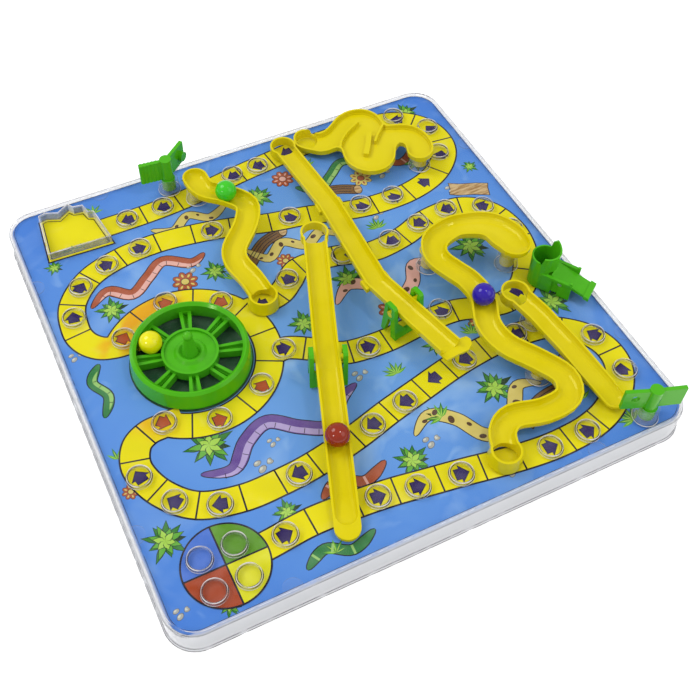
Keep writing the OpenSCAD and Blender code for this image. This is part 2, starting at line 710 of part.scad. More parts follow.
module spinner_wheel() {
    low = plate_t + gap;
    r0 = spinner_d / 2;
    r1 = spinner_top_d / 2;
    hub_r = hub_d / 2;
    edge = rim_t * 0.4;
    color(green_plastic) at(spinner_share) difference() {
        union() {
            rotate_extrude($fn = 96) polygon([[r0 - rim_t, low], [r0, low], [r1, spinner_h - edge],
                [r1 - edge, spinner_h], [r1 - rim_t + edge, spinner_h], [r1 - rim_t, spinner_h - edge]]);
            rotate_extrude($fn = 96) polygon([[0, low], [hub_r - edge, low], [hub_r, low + edge],
                [hub_r, hub_h], [hub_r - edge, hub_h], [hub_r - edge, hub_h - edge],
                [hub_boss_d / 2 + edge, hub_h - edge], [hub_boss_d / 2, hub_h],
                [hub_boss_d / 2 - edge, hub_h], [knob_foot_d / 2, hub_h - edge],
                [knob_d * 0.4, knob_h - knob_d / 2], [0, knob_h - knob_d / 2]]);
            translate([0, 0, knob_h - knob_d / 2]) sphere(d = knob_d);
            rotate([90, 0, fin_turn]) translate([0, 0, -fin_t / 2]) linear_extrude(fin_t)
                polygon([[0, hub_h - edge - gap], [knob_foot_d * 0.58, hub_h - edge - gap],
                    [knob_foot_d * 0.5, knob_h - 2.4 * knob_d], [0, knob_h - knob_d * 0.9]]);
            for (i = [0 : pockets - 1]) rotate([0, 0, spoke_turn + i * 360 / pockets]) spoke(low);
        }
        cylinder(r = spindle_d / 2 + run_gap, h = spindle_h + gap);
    }
}

// One spoke: it widens outwards and has a groove along its top
module spoke(low) {
    end = spoke_out - rim_t / 2;
    difference() {
        translate([0, 0, low]) linear_extrude(spoke_h - low) polygon([[spoke_in, -spoke_hub_w / 2],
            [spoke_out, -spoke_rim_w / 2], [spoke_out, spoke_rim_w / 2], [spoke_in, spoke_hub_w / 2]]);
        for (k = [1, 0.5]) translate([0, 0, spoke_h * (1 - 0.5 / (k + 0.5))]) linear_extrude(spoke_h)
            polygon([[hub_d / 2, -spoke_hub_w * groove_share * k / 2],
                [end, -spoke_rim_w * groove_share * k / 2],
                [end, spoke_rim_w * groove_share * k / 2],
                [hub_d / 2, spoke_hub_w * groove_share * k / 2]]);
    }
}

// The stem of a bat, with its peg down in the clear post
module bat_stem() {
    low = plate_t + post_floor + gap;
    translate([0, 0, low]) cylinder(d = peg_d, h = post_h + gap - low);
    translate([0, 0, post_h + gap]) cylinder(d = bat_stem_d, h = bat_top_h + gap * 3 - post_h - gap);
}

module blade(turn, reach = bat_reach) {
    rotate([0, 0, turn]) translate([0, -bat_t / 2, bat_foot_h])
        cube([reach, bat_t, bat_top_h - bat_foot_h]);
}

back_bat_turn = 174;
back_bat_bend = 39;
front_bat_turn = 159;
front_bat_bend = -18;
bat_ribs = 5;

// Back bat: one ribbed blade and one longer bent blade with a round boss
module back_bat() {
    color(green_plastic) at(bat_post_shares[0]) {
        bat_stem();
        blade(back_bat_turn);
        blade(back_bat_bend, bat_reach * 1.15);
        rotate([0, 0, back_bat_turn]) for (i = [1 : bat_ribs])
            translate([mix(bat_stem_d / 2, bat_reach, i / (bat_ribs + 0.4)), 0, bat_foot_h])
                cylinder(d = bat_t * 1.35, h = bat_top_h - bat_foot_h);
        rotate([0, 0, back_bat_bend])
            translate([bat_reach * 0.9, 0, mix(bat_foot_h, bat_top_h, 0.42)])
                rotate([90, 0, 0]) cylinder(d = bat_stem_d * 0.85, h = bat_t * 1.6);
    }
}

// Front bat: one blade with a hole and one plain blade
module front_bat() {
    color(green_plastic) at(bat_post_shares[1]) difference() {
        union() {
            bat_stem();
            blade(front_bat_turn);
            blade(front_bat_bend);
        }
        rotate([0, 0, front_bat_turn]) translate([bat_reach * 0.62, 0, mix(bat_foot_h, bat_top_h, 0.6)])
            rotate([90, 0, 0]) cylinder(d = bat_t * 2, h = bat_stem_d, center = true);
    }
}

// Ball flicker: a cup that a ball drops into, with a lever that throws it out.
// It is drawn with its cup over the origin and its lever towards +X
flicker_share = [12.06, -3.15];
flicker_turn = -55;
cup_foot_h = 2.6;
cup_taper = 0.6;
pin_h = 10.4;
slot_in_share = 0.42;
slot_out_share = 0.63;

// An upright slab between y0 and y1, cut to a side profile of [x, z] points
module profile(points, y0, y1) {
    translate([0, y1, 0]) rotate([90, 0, 0]) linear_extrude(y1 - y0) polygon(points);
}

module flicker_cup() {
    r = cup_d / 2;
    color(green_plastic) at(flicker_share, 0, flicker_turn) difference() {
        union() {
            translate([0, 0, plate_t]) cylinder(r1 = r - cup_taper, r2 = r, h = cup_peak_h - plate_t);
            for (y = [-1, 1]) arm(y);
        }
        translate([0, 0, cup_foot_h]) cylinder(r = r - cup_wall, h = cup_peak_h);
        cut_rim();
        profile([[0, cup_foot_h], [cup_d, cup_foot_h], [cup_d, lever_top_h(r) + press_lift() + 3 * gap],
            [0, lever_top_h(r) + press_lift() + 3 * gap]], -lever_half() - gap, lever_half() + gap);
        translate([pin_reach, 0, pin_h]) rotate([90, 0, 0])
            cylinder(r = pin_d / 2 + run_gap, h = cup_d + over, center = true);
    }
}

// What is cut from the cup's top: the side away from the lever is low, with a
// notch on one side and a peak on the other
module cut_rim() {
    r = cup_d / 2;
    top = cup_peak_h + over;
    profile([[-r - over, cup_low_h], [0, cup_low_h], [r * 0.08, cup_tall_h], [r * 0.38, cup_peak_h],
        [r, cup_tall_h], [r + over, cup_tall_h], [r + over, top], [-r - over, top]], 0, r + over);
    profile([[-r - over, cup_low_h], [-r * 0.12, cup_low_h], [0, cup_low_h - cup_wall],
        [r * 0.16, cup_tall_h], [r + over, cup_tall_h], [r + over, top], [-r - over, top]], -r - over, 0);
}

// A side arm: a wall from the cup, a thinner web, an end block and a ridge on top
module arm(side) {
    r = cup_d / 2;
    low = side * (r - cup_taper) - (side + 1) * arm_t / 2;
    web = low + arm_t / 4 * (1 - side);
    profile([[0, plate_t], [arm_len * slot_in_share, plate_t], [arm_len * slot_in_share, arm_h],
        [0, arm_h]], low, low + arm_t);
    profile([[arm_len * slot_in_share - over, plate_t + arm_t], [arm_len * slot_out_share + over, plate_t + arm_t],
        [arm_len * slot_out_share + over, arm_h], [arm_len * slot_in_share - over, arm_h]], web, web + arm_t / 2);
    profile([[arm_len * slot_out_share, plate_t], [arm_len, plate_t], [arm_len, arm_h + cup_wall],
        [arm_len - arm_t, arm_h + cup_wall], [arm_len - arm_t, arm_h], [arm_len * slot_out_share, arm_h]],
        low, low + arm_t);
    profile([[0, arm_h - arm_t], [arm_len, arm_h - arm_t], [arm_len, arm_h], [0, arm_h + arm_t / 2]],
        low - (1 - side) * gap, low + arm_t + (1 + side) * gap);
}

// Half the lever's width between the arms
// Turn in degrees to which the lever is pressed down, and the lift of its inner edge there
press_turn = 10;
function press_lift() = (pin_reach - cup_d / 2 + cup_wall + gap) * sin(press_turn);
function lever_half() = cup_d / 2 - cup_taper - arm_t - gap;
// Height of the lever's top face at a distance x from the cup's centre
function lever_top_h(x) = lever_end_h + (lever_len - x) * tan(lever_slope);

lever_end_h = 7;
lever_slope = 16;
tee_len_share = 0.11;

module flicker_lever() {
    half = lever_half();
    tee = lever_len * (1 - tee_len_share);
    inner = cup_d / 2 - cup_wall - gap;
    tip_h = cup_foot_h + gap;
    color(green_plastic) at(flicker_share, 0, flicker_turn) difference() {
        union() {
            profile([[inner, lever_top_h(inner)], [inner, lever_top_h(inner) - lever_t],
                [lever_len, lever_end_h - lever_t], [lever_len, lever_end_h]], -half, half);
            profile([[tee, lever_top_h(tee) + lever_t / 4], [tee, lever_top_h(tee) - lever_t],
                [lever_len, lever_end_h - lever_t], [lever_len, lever_end_h + lever_t / 4]],
                -half - lever_t / 2, half + lever_t / 2);
            profile([[-inner * 0.6, tip_h], [inner, tip_h], [pin_reach + pin_d, pin_h - pin_d],
                [pin_reach + pin_d, lever_top_h(pin_reach + pin_d) - lever_t / 2],
                [inner + gap, lever_top_h(inner) - lever_t / 2],
                [inner - lever_t, tip_h + lever_t], [-inner * 0.6, tip_h + lever_t]], -half * 0.75, half * 0.75);
        }
        translate([pin_reach, 0, pin_h]) rotate([90, 0, 0])
            cylinder(r = pin_d / 2 + run_gap, h = cup_d, center = true);
    }
}

module flicker_pin() {
    color([0.75, 0.77, 0.8]) at(flicker_share, 0, flicker_turn)
        translate([pin_reach, 0, pin_h]) rotate([90, 0, 0])
            cylinder(d = pin_d, h = cup_d - 2 * cup_taper, center = true);
}

// A ball that lies between the walls of a channel at a path point p
module ball_on(p) {
    rise = sqrt(pow(ball_d / 2, 2) - pow(p[3] / 2 - channel_wall, 2)) + gap / 2;
    translate([p[0], p[1], p[2] + rise]) sphere(d = ball_d);
}

red_ball_span_share = 0.514;
blue_ball_station = 11;
green_ball_station = 2;

module red_ball() {
    path = stations(left_shares, left_ladder_top, left_ladder_end, ladder_w, channel_depth);
    color([0.56, 0.14, 0.02]) ball_on(mix(path[2], path[3], red_ball_span_share));
}

module blue_ball() {
    color([0.17, 0.06, 0.63]) ball_on(long_path()[blue_ball_station * slide_steps]);
}

module green_ball() {
    color([0.21, 0.76, 0.1]) ball_on(back_path()[green_ball_station * slide_steps]);
}

// The yellow ball lies on the top edges of two spokes, between hub and rim
yellow_ball_pocket = 2.5;

module yellow_ball() {
    reach = (hub_d / 2 + spinner_top_d / 2 - rim_t) / 2;
    half_turn = 180 / pockets;
    slope = (spoke_rim_w - spoke_hub_w) / 2 / (spoke_out - spoke_in);
    edge = reach * sin(half_turn) - spoke_hub_w / 2 - (reach * cos(half_turn) - spoke_in) * slope;
    side = edge / sqrt(1 + slope * slope);
    color([0.93, 0.91, 0.04]) at(spinner_share, 0, spoke_turn + yellow_ball_pocket * 360 / pockets)
        translate([reach, 0, spoke_h + sqrt(pow(ball_d / 2, 2) - side * side) + gap / 2]) sphere(d = ball_d);
}

cover();
printed_card();
base_tray();
cell_rings();
slide_posts();
finish_wall();
back_slide();
long_slide();
coil_slide();
short_ladder();
left_bracket();
right_bracket();
left_ladder();
right_ladder();
spinner_spindle();
spinner_wheel();
back_bat();
front_bat();
flicker_cup();
flicker_lever();
flicker_pin();
red_ball();
blue_ball();
green_ball();
yellow_ball();
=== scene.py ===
"""Dresses a snakes and ladders board with rolling balls: clear cover, printed
card, yellow slides and ladders, green turning pieces, balls and a plain studio."""

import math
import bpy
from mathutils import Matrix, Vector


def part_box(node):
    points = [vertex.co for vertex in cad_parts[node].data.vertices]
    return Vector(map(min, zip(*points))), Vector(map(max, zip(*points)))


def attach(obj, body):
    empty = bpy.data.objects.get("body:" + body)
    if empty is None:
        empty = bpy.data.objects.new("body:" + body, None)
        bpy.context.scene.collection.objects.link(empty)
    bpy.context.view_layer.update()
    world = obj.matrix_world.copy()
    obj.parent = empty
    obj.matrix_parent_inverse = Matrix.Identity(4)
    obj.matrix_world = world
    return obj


bl_info = {
    "name": "Rolling Ball Board",
    "version": (1, 0, 0),
    "blender": (4, 5, 0),
    "location": "View3D > Sidebar > Board",
    "description": "Prints the card and finishes the plastics of a rolling ball board",
    "category": "Object",
}

import bmesh
import bpy
from bpy.props import FloatProperty, FloatVectorProperty, PointerProperty
from mathutils import Quaternion, Vector

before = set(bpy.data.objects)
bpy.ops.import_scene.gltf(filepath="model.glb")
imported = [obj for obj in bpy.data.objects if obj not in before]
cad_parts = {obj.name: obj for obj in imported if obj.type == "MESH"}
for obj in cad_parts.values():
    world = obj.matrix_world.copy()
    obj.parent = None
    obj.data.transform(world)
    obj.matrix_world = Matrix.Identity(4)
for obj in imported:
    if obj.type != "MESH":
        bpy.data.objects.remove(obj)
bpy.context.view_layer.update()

MM = 0.001
CARD_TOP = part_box("printed_card")[1].z
CARD_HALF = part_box("printed_card")[1].x
PLATE_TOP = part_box("cell_rings")[0].z
WHEEL_LOW, WHEEL_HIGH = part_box("spinner_wheel")
WHEEL_X = (WHEEL_LOW.x + WHEEL_HIGH.x) / 2
WHEEL_Y = (WHEEL_LOW.y + WHEEL_HIGH.y) / 2

# Sizes of the clear pieces that their edges follow, in metres
CORNER = 16 * MM
BEAD = 3.2 * MM
FOOT_OUT = 0.7 * MM
FOOT_HEIGHT = 1.5 * MM
RING_WALL = 1.1 * MM
RING_TAPER = RING_WALL / 2
# Corners of the finish wall, in millimetres
FINISH_YARD = [
    (-126.5, 101.5), (-89.5, 100), (-92.5, 123.5), (-95.5, 125), (-97, 131), (-102.5, 132), (-105, 135.5),
    (-112, 131), (-119, 134), (-123, 133)]

# Painted glint strips and painted shade strips along clear edges
PAINTED_GLINT_STRIP, PAINTED_SHADE_STRIP = 0, 1
# The turn, in radians, at which the painted glint hoops round the rings are widest, and the least share of their
# width
HOOP_LIT = math.radians(64)
HOOP_THIN = 0.22
# The sides of a strip, and the points of a hoop
STRIP_SIDES = 6
HOOP_POINTS = 36

# Layers of the print: the sea is layer 0, the garden takes 1 to 5, and tufts on the finish take the last
TRACK_LAYER = 6
MARK_LAYER = 10
TUFT_LAYER = 15
# Shapes of one layer are staggered in this many steps of this share of a layer
STAGGER_STEPS = 18
STAGGER_SHARE = 0.05

# Width of the camera's sensor, in millimetres
SENSOR_WIDTH = 36.0
# Half the width of the floor, and its height, a hair below the tray's foot
FLOOR_REACH = 4
FLOOR_UP = -0.1 * MM
# Each lamp's name, place, power setting and size
LAMPS = [
    ("key_light", (-0.55, 0.55, 1.05), "key_power", 0.7), ("fill_light", (0.75, -0.75, 0.8), "fill_power", 0.9),
    ("top_glint", (0.31, -0.27, 1.01), "glint_power", 0.14),
    ("side_glint", (-0.86, -0.27, 0.63), "glint_power", 0.14)]


def rgb(red, green, blue):
    """A screen colour of 0 to 255 as the linear colour that Blender works in."""
    shares = [c / 255 for c in (red, green, blue)]
    return tuple(s / 12.92 if s <= 0.04045 else ((s + 0.055) / 1.055) ** 2.4 for s in shares)


def colour(name, description, red, green, blue):
    return FloatVectorProperty(name=name, description=description, subtype="COLOR", size=3,
                               min=0.0, max=1.0, default=rgb(red, green, blue))


def position(name, description, *point):
    return FloatVectorProperty(name=name, description=description, subtype="TRANSLATION", unit="LENGTH",
                               size=3, default=point)


def number(name, description, value, **kind):
    return FloatProperty(name=name, description=description, default=value, **kind)


def length(name, description, millimetres):
    return number(name, description, millimetres * MM, subtype="DISTANCE", unit="LENGTH", min=0.0)


def power(name, description, watts):
    return number(name, description, watts, unit="POWER", min=0.0)


class CardPrint(bpy.types.PropertyGroup):
    """Inks and drawn sizes of the printed card"""

    sea: colour("Sea", "Main blue of the card", 104, 156, 222)
    sea_light: colour("Light sea", "Pale blue of the drifts over the card", 172, 208, 240)
    sea_deep: colour("Deep sea", "Dark blue of the drifts over the card", 54, 112, 206)
    track: colour("Track", "Yellow of the track's cells", 230, 218, 14)
    glow: colour("Track glow", "Orange that warms the track beside the wheel", 232, 146, 30)
    line: colour("Line", "Dark ink of the outlines", 26, 20, 34)
    arrow: colour("Arrow", "Purple of the arrows", 48, 32, 94)
    warm_arrow: colour("Warm arrow", "Orange of the arrows beside the wheel", 176, 74, 14)
    track_width: length("Track width", "Width of the track's cells", 14.2)
    line_width: length("Line width", "Width of the dark outlines", 0.9)
    arrow_width: length("Arrow width", "Width of an arrow's head", 9.4)
    start_radius: length("Start radius", "Radius of the start circle", 20.8)
    layer: length("Ink layer", "Height from one printed layer to the next", 0.02)


class Plastics(bpy.types.PropertyGroup):
    """Colours and gloss of the moulded pieces"""

    yellow: colour("Yellow plastic", "Slides and ladders", 224, 208, 0)
    green: colour("Green plastic", "Wheel, bats, flicker and brackets", 74, 180, 6)
    clear: colour("Clear plastic", "Tint of the cover, rings and posts", 232, 236, 244)
    tray: colour("Tray plastic", "Tray under the card", 226, 226, 230)
    red_ball: colour("Red ball", "Red-brown ball", 150, 40, 8)
    blue_ball: colour("Blue ball", "Blue-violet ball", 44, 16, 168)
    green_ball: colour("Green ball", "Light green ball", 60, 204, 30)
    yellow_ball: colour("Yellow ball", "Bright yellow ball", 244, 236, 8)
    # The next two colours are the painted glint and the painted shade of the strips along clear edges, and the width
    # after them is the width of these painted strips.
    glint: colour("Glint", "Polished edges of the clear pieces, where they catch the light", 244, 240, 242)
    edge: colour("Edge", "Edges of the clear pieces that look dark", 56, 46, 54)
    painted_strip_width: length("Glint width", "Width of a polished edge", 0.55)
    gloss_roughness: number("Gloss roughness", "Roughness of the glossy plastics", 0.08, subtype="FACTOR",
                            min=0.0, max=1.0)


class Studio(bpy.types.PropertyGroup):
    """Camera and lights at the photograph's viewing angle"""

    viewpoint: position("Viewpoint", "Place of the camera", -0.1526, -0.3090, 0.4446)
    aim: position("Aim", "Point of the card that the camera looks at", -0.01139, -0.02349, 0.0145)
    roll: number("Roll", "Turn of the camera about its line of sight", math.radians(0.63), subtype="ANGLE")
    lens: number("Lens", "Focal length on a 36 mm sensor", 51.1, unit="CAMERA", subtype="DISTANCE_CAMERA", min=1.0)
    shift: number("Shift", "Sideways shift that gives the photograph's framing", 0.0355)
    key_power: power("Key light", "Power of the large lamp", 5.0)
    fill_power: power("Fill light", "Power of the lamp on the player's side", 2.2)
    glint_power: power("Small lights", "Power of each small lamp that makes the glints", 1.3)
    sky: number("Sky", "Strength of the even light from all round", 0.62, min=0.0)
    floor: colour("Floor", "Pale floor under the board", 246, 246, 247)
    floor_glow: number("Floor glow", "White that the floor adds for the camera alone", 0.4, min=0.0)


class Varying:
    """A number that varies over a surface; arithmetic on it adds Math nodes."""

    def __init__(self, nodes, socket):
        self.nodes = nodes
        self.socket = socket

    def _join(self, operation, first, second=0.0, clamp=False):
        node = self.nodes.node("ShaderNodeMath", {"operation": operation, "use_clamp": clamp}, {0: first, 1: second})
        return Varying(self.nodes, node.outputs[0])

    def __add__(self, other):
        return self._join("ADD", self, other)

    __radd__ = __add__

    def __sub__(self, other):
        return self._join("SUBTRACT", self, other)

    def __rsub__(self, other):
        return self._join("SUBTRACT", other, self)

    def __mul__(self, other):
        return self._join("MULTIPLY", self, other)

    __rmul__ = __mul__

    def __pow__(self, other):
        return self._join("POWER", self, other)

    def __abs__(self):
        return self._join("ABSOLUTE", self)

    def most(self, other):
        return self._join("MAXIMUM", self, other)

    def held(self):
        """The same number kept between 0 and 1."""
        return self._join("ADD", self, 0.0, clamp=True)

    def ramp(self, start, end):
        """0 at start and 1 at end, straight in between and held outside."""
        return ((self - start) * (1.0 / (end - start))).held()


class Nodes:
    """The node tree of a material or of the world."""

    def __init__(self, owner, output):
        owner.use_nodes = True
        self.tree = owner.node_tree
        self.tree.nodes.clear()
        self.output = self.node(output)

    def node(self, kind, settings=None, values=None):
        """Adds a node, sets what it is, then gives its sockets their values or links."""
        made = self.tree.nodes.new(kind)
        for key, value in (settings or {}).items():
            setattr(made, key, value)
        for key, value in (values or {}).items():
            self.feed(made.inputs[key], value)
        return made

    def feed(self, entry, value):
        if isinstance(value, Varying):
            value = value.socket
        if isinstance(value, bpy.types.NodeSocket):
            self.tree.links.new(value, entry)
        elif entry.type == "RGBA" and len(value) == 3:
            entry.default_value = (*value, 1.0)
        else:
            entry.default_value = value

    def show(self, shader):
        self.feed(self.output.inputs["Surface"], shader)

    def rays(self, *kinds):
        """1 for rays of these kinds, and 0 for the rest."""
        path = self.node("ShaderNodeLightPath").outputs
        seen = Varying(self, path[f"Is {kinds[0]} Ray"])
        for kind in kinds[1:]:
            seen = seen.most(Varying(self, path[f"Is {kind} Ray"]))
        return seen


class Finish(Nodes):
    """A material of the board."""

    def __init__(self, name):
        self.material = bpy.data.materials.new(name)
        super().__init__(self.material, "ShaderNodeOutputMaterial")
        self._place = None

    def place(self):
        """Where a point is on the board, in metres."""
        if self._place is None:
            self._place = self.node("ShaderNodeTexCoord").outputs["Object"]
        return self._place

    def parts(self, vector):
        """The three numbers of a vector."""
        split = self.node("ShaderNodeSeparateXYZ", values={"Vector": vector})
        return [Varying(self, socket) for socket in split.outputs]

    def axes(self):
        return self.parts(self.place())

    def normals(self):
        """The way the surface faces, as its shares along X, Y and Z."""
        return self.parts(self.node("ShaderNodeTexCoord").outputs["Normal"])

    def facing(self):
        """0 where the surface faces the eye, and 1 where it is seen edge-on."""
        return Varying(self, self.node("ShaderNodeLayerWeight", values={"Blend": 0.5}).outputs["Facing"])

    def noise(self, size, detail=2.0, roughness=0.5, distortion=0.0):
        """Even noise whose blots are about size metres across."""
        made = self.node("ShaderNodeTexNoise", values={
            "Vector": self.place(), "Scale": 1.0 / size, "Detail": detail, "Roughness": roughness,
            "Distortion": distortion})
        return Varying(self, made.outputs["Fac"])

    def mixed(self, share, first, second):
        return self.node("ShaderNodeMix", {"data_type": "RGBA"}, {"Factor": share, 6: first, 7: second}).outputs[2]

    def bump(self, height, depth, strength):
        made = self.node("ShaderNodeBump", values={"Height": height, "Distance": depth, "Strength": strength})
        return made.outputs["Normal"]

    def principled(self, values):
        return self.node("ShaderNodeBsdfPrincipled", values=values).outputs["BSDF"]

    def solid(self, values):
        """The material of an opaque surface."""
        self.show(self.principled(values))
        return self.material

    def veil(self, share, values):
        """The material of a clear surface: this share of it shows, and the rest is seen through."""
        body = self.principled(values)
        through = self.node("ShaderNodeBsdfTransparent").outputs[0]
        self.show(self.node("ShaderNodeMixShader", values={0: share.held(), 1: through, 2: body}).outputs[0])
        return self.material


def darker(tint, share):
    return tuple(c * share for c in tint)


def paler(tint, share):
    return tuple(c + (1.0 - c) * share for c in tint)


def moulded_plastic(name, tint, roughness, gloss):
    """Glossy moulded plastic: faint flow marks in the colour and a slightly uneven skin."""
    finish = Finish(name)
    flow = finish.noise(size=0.03, detail=3.0, distortion=0.6)
    return finish.solid({
        "Base Color": finish.mixed(flow.ramp(0.3, 0.7), darker(tint, 0.94), paler(tint, 0.015)),
        "Roughness": roughness + 0.08 * flow,
        "Specular IOR Level": 0.3,
        "Specular Tint": gloss,
        "Normal": finish.bump(finish.noise(size=0.011), depth=0.00008, strength=0.4),
    })


def ball_plastic(name, tint):
    """Hard polished plastic with a slight moulding cloud."""
    finish = Finish(name)
    cloud = finish.noise(size=0.006)
    return finish.solid({
        "Base Color": finish.mixed(cloud.ramp(0.35, 0.7), darker(tint, 0.9), tint),
        "Roughness": 0.05 + 0.04 * cloud,
        "Specular IOR Level": 0.45,
        "Normal": finish.bump(finish.noise(size=0.004), depth=0.00002, strength=0.08),
    })


def clear_plastic(name, tint, flat_share, wall_share):
    """Clear moulded plastic: its tops all but vanish, and its walls are painted white towards the key light and
    painted dark away from it.
    """
    finish = Finish(name)
    side_x, side_y, side_z = finish.normals()
    # Painted shade: steep faces turned away from the key light are painted dark.
    steep = 1.0 - abs(side_z).ramp(0.3, 0.9)
    away = (side_x * 0.55 - side_y * 0.8 + 0.1).ramp(0.1, 0.75)
    ripple = finish.noise(size=0.005, detail=1.0)
    dark = (steep * away * (0.55 + 0.5 * ripple)).held()
    # The pale body shows more where the surface is seen edge-on, a painted sheen.
    share = flat_share + wall_share * steep * (0.7 + 0.6 * ripple) + 0.3 * finish.facing().ramp(0.6, 0.95)
    return finish.veil(share, {
        "Base Color": finish.mixed(dark, paler(tint, 0.6), darker(tint, 0.08)),
        "Roughness": 0.07 + 0.05 * ripple,
        "Coat Weight": 0.6,
        "Coat Roughness": 0.03,
        "Normal": finish.bump(ripple, depth=0.0001, strength=0.4),
    })


def cover_plastic(name, tint):
    """The cover's clear plastic: its flat top all but vanishes over the card, and its bead and walls show."""
    finish = Finish(name)
    across, along, up = finish.axes()
    reach = abs(across).most(abs(along))
    inner = 1.0 - reach.ramp(CARD_HALF - 1.2 * MM, CARD_HALF - 0.4 * MM)
    high = up.ramp(CARD_TOP - 0.2 * MM, CARD_TOP)
    proud = up.ramp(PLATE_TOP + 0.1 * MM, PLATE_TOP + 0.3 * MM)
    steep = 1.0 - abs(finish.normals()[2]).ramp(0.3, 0.9)
    cloud = finish.noise(size=0.04, detail=1.0)
    plate = inner * high * (0.008 + proud * (0.03 + steep * 0.3))
    # The rim shows more of its pale body where it is seen edge-on, a painted sheen.
    rim = (1.0 - inner * high) * (0.36 + 0.25 * finish.facing() + 0.08 * cloud)
    return finish.veil(plate + rim, {
        # Painted shade: the steep faces of the bead and bosses that stand above the plate are painted darker.
        "Base Color": finish.mixed((proud * steep * 0.7).held(), paler(tint, 0.5), darker(tint, 0.3)),
        "Roughness": 0.06 + 0.05 * cloud,
        "Coat Weight": 0.4,
        "Coat Roughness": 0.03,
        "Normal": finish.bump(cloud, depth=0.0004, strength=0.3),
    })


def painted_edge_plastic(name, tint, share):
    """A painted glint or painted shade along an edge of clear plastic, which shows in places and fades in others."""
    finish = Finish(name)
    fade = finish.noise(size=0.006, detail=1.0)
    return finish.veil(share * fade.ramp(0.3, 0.55), {
        "Base Color": finish.mixed(fade, darker(tint, 0.85), tint),
        "Roughness": 0.12 + 0.1 * fade,
        "Normal": finish.bump(fade, depth=0.0001, strength=0.2),
    })


def turned_steel(name):
    """Plain steel pin with faint turning marks round it."""
    finish = Finish(name)
    marks = finish.noise(size=0.0008, detail=1.0)
    return finish.solid({
        "Base Color": finish.mixed(marks, (0.55, 0.56, 0.58), (0.72, 0.73, 0.75)),
        "Metallic": 1.0,
        "Roughness": 0.25 + 0.15 * marks,
        "Normal": finish.bump(marks, depth=0.00002, strength=0.5),
    })


def tray_plastic(name, tint):
    """Satin white plastic of the hidden tray, seen through the cover's walls."""
    finish = Finish(name)
    cloud = finish.noise(size=0.02, detail=3.0)
    return finish.solid({
        "Base Color": finish.mixed(cloud.ramp(0.3, 0.7), darker(tint, 0.9), tint),
        "Roughness": 0.42 + 0.12 * cloud,
        "Normal": finish.bump(finish.noise(size=0.002), depth=0.00005, strength=0.4),
    })


def printed(finish, base):
    """Printed ink: a fine paper tooth and a thin gloss."""
    tooth = finish.noise(size=0.0009)
    return finish.solid({
        "Base Color": base,
        "Roughness": 0.5 + 0.12 * tooth,
        "Specular IOR Level": 0.1,
        "Normal": finish.bump(tooth, depth=0.00002, strength=0.3),
    })


def plain_ink(name, tint):
    """An ink that is a little stronger in some places than in others."""
    finish = Finish(name)
    cloud = finish.noise(size=0.009, detail=3.0)
    return printed(finish, finish.mixed(cloud.ramp(0.3, 0.7), darker(tint, 0.9), paler(tint, 0.05)))


def sea_ink(name, sea, light, deep):
    """Blue with pale drifts in the middle of the card and deeper blue towards its rim."""
    finish = Finish(name)
    across, along = finish.axes()[:2]
    reach = (across * across + along * along) ** 0.5
    drift = finish.noise(size=0.075, detail=3.0, roughness=0.55, distortion=1.6)
    ripple = finish.noise(size=0.02, distortion=1.0)
    base = finish.mixed((reach.ramp(0.07, 0.19) * 0.75 + drift * 0.5 - 0.25).held(), sea, deep)
    base = finish.mixed((drift.ramp(0.5, 0.68) * 0.55 * (1.25 - reach * 5.0)).held(), base, light)
    return printed(finish, finish.mixed(ripple.ramp(0.62, 0.8) * 0.35, base, light))


def track_ink(name, yellow, glow):
    """Yellow cells, a little darker or paler in places, and warmed with orange beside the wheel."""
    finish = Finish(name)
    across, along = finish.axes()[:2]
    dx, dy = across - WHEEL_X, along - WHEEL_Y
    reach = (dx * dx + dy * dy) ** 0.5
    near = 1.0 - abs(reach - sum(RING_RADII) / 2 * MM).ramp(0.004, 0.016)
    blot = finish.noise(size=0.022, distortion=0.5)
    warm = (dy * 9.0 - dx * 16.0).ramp(-0.1, 0.5)
    base = finish.mixed(finish.noise(size=0.03).ramp(0.5, 0.75) * 0.35, yellow, darker(yellow, 0.72))
    base = finish.mixed(finish.noise(size=0.014).ramp(0.55, 0.8) * 0.3, base, paler(yellow, 0.25))
    return printed(finish, finish.mixed((near * warm * blot.ramp(0.44, 0.6) * 0.75).held(), base, glow))


def wood_ink(name, light, dark):
    """Drawn wood with grain lines along the board."""
    finish = Finish(name)
    stretched = finish.node("ShaderNodeMapping", values={"Vector": finish.place(), "Scale": (1.0, 5.0, 1.0)})
    grain = finish.node("ShaderNodeTexNoise", values={"Vector": stretched.outputs[0], "Scale": 160.0, "Detail": 3.0})
    return printed(finish, finish.mixed(Varying(finish, grain.outputs["Fac"]).ramp(0.4, 0.65), light, dark))


# The middle line of the track in millimetres from the card's centre, in three runs
FIRST_RUN = [
    (-98, -115.5), (-84, -114.5), (-62, -112.5), (-40, -113.3), (-20, -115), (0, -118), (20, -121), (40, -124.5),
    (60, -126.8), (75, -127), (90, -125.5), (104, -121), (117, -112), (125, -101), (127, -90), (124.5, -80),
    (118, -71), (105, -62), (91, -59.5), (75, -59), (60, -60.3), (42.5, -63.3), (22.8, -68), (0.8, -73.3),
    (-21.2, -79.5), (-46.5, -84.8), (-66, -86.7), (-86.2, -86.7), (-107.4, -81), (-121, -67), (-127, -50),
    (-123.5, -37.5), (-115.5, -32), (-106, -31.2), (-96, -31)]
SECOND_RUN = [
    (-42, -14.5), (-31, -13), (-20.9, -17.7), (-10, -25.5), (0.5, -30.5), (21.2, -32), (44, -30), (65, -30),
    (82, -35), (96, -36.5), (110, -30), (120, -18), (126.5, -3), (128, 12), (123, 28), (109, 38.5), (86, 38),
    (66.3, 31.6), (44, 29), (22.9, 35), (1.4, 36), (-9, 28.5), (-17.5, 22.5), (-28.5, 20.5), (-41, 20.5)]
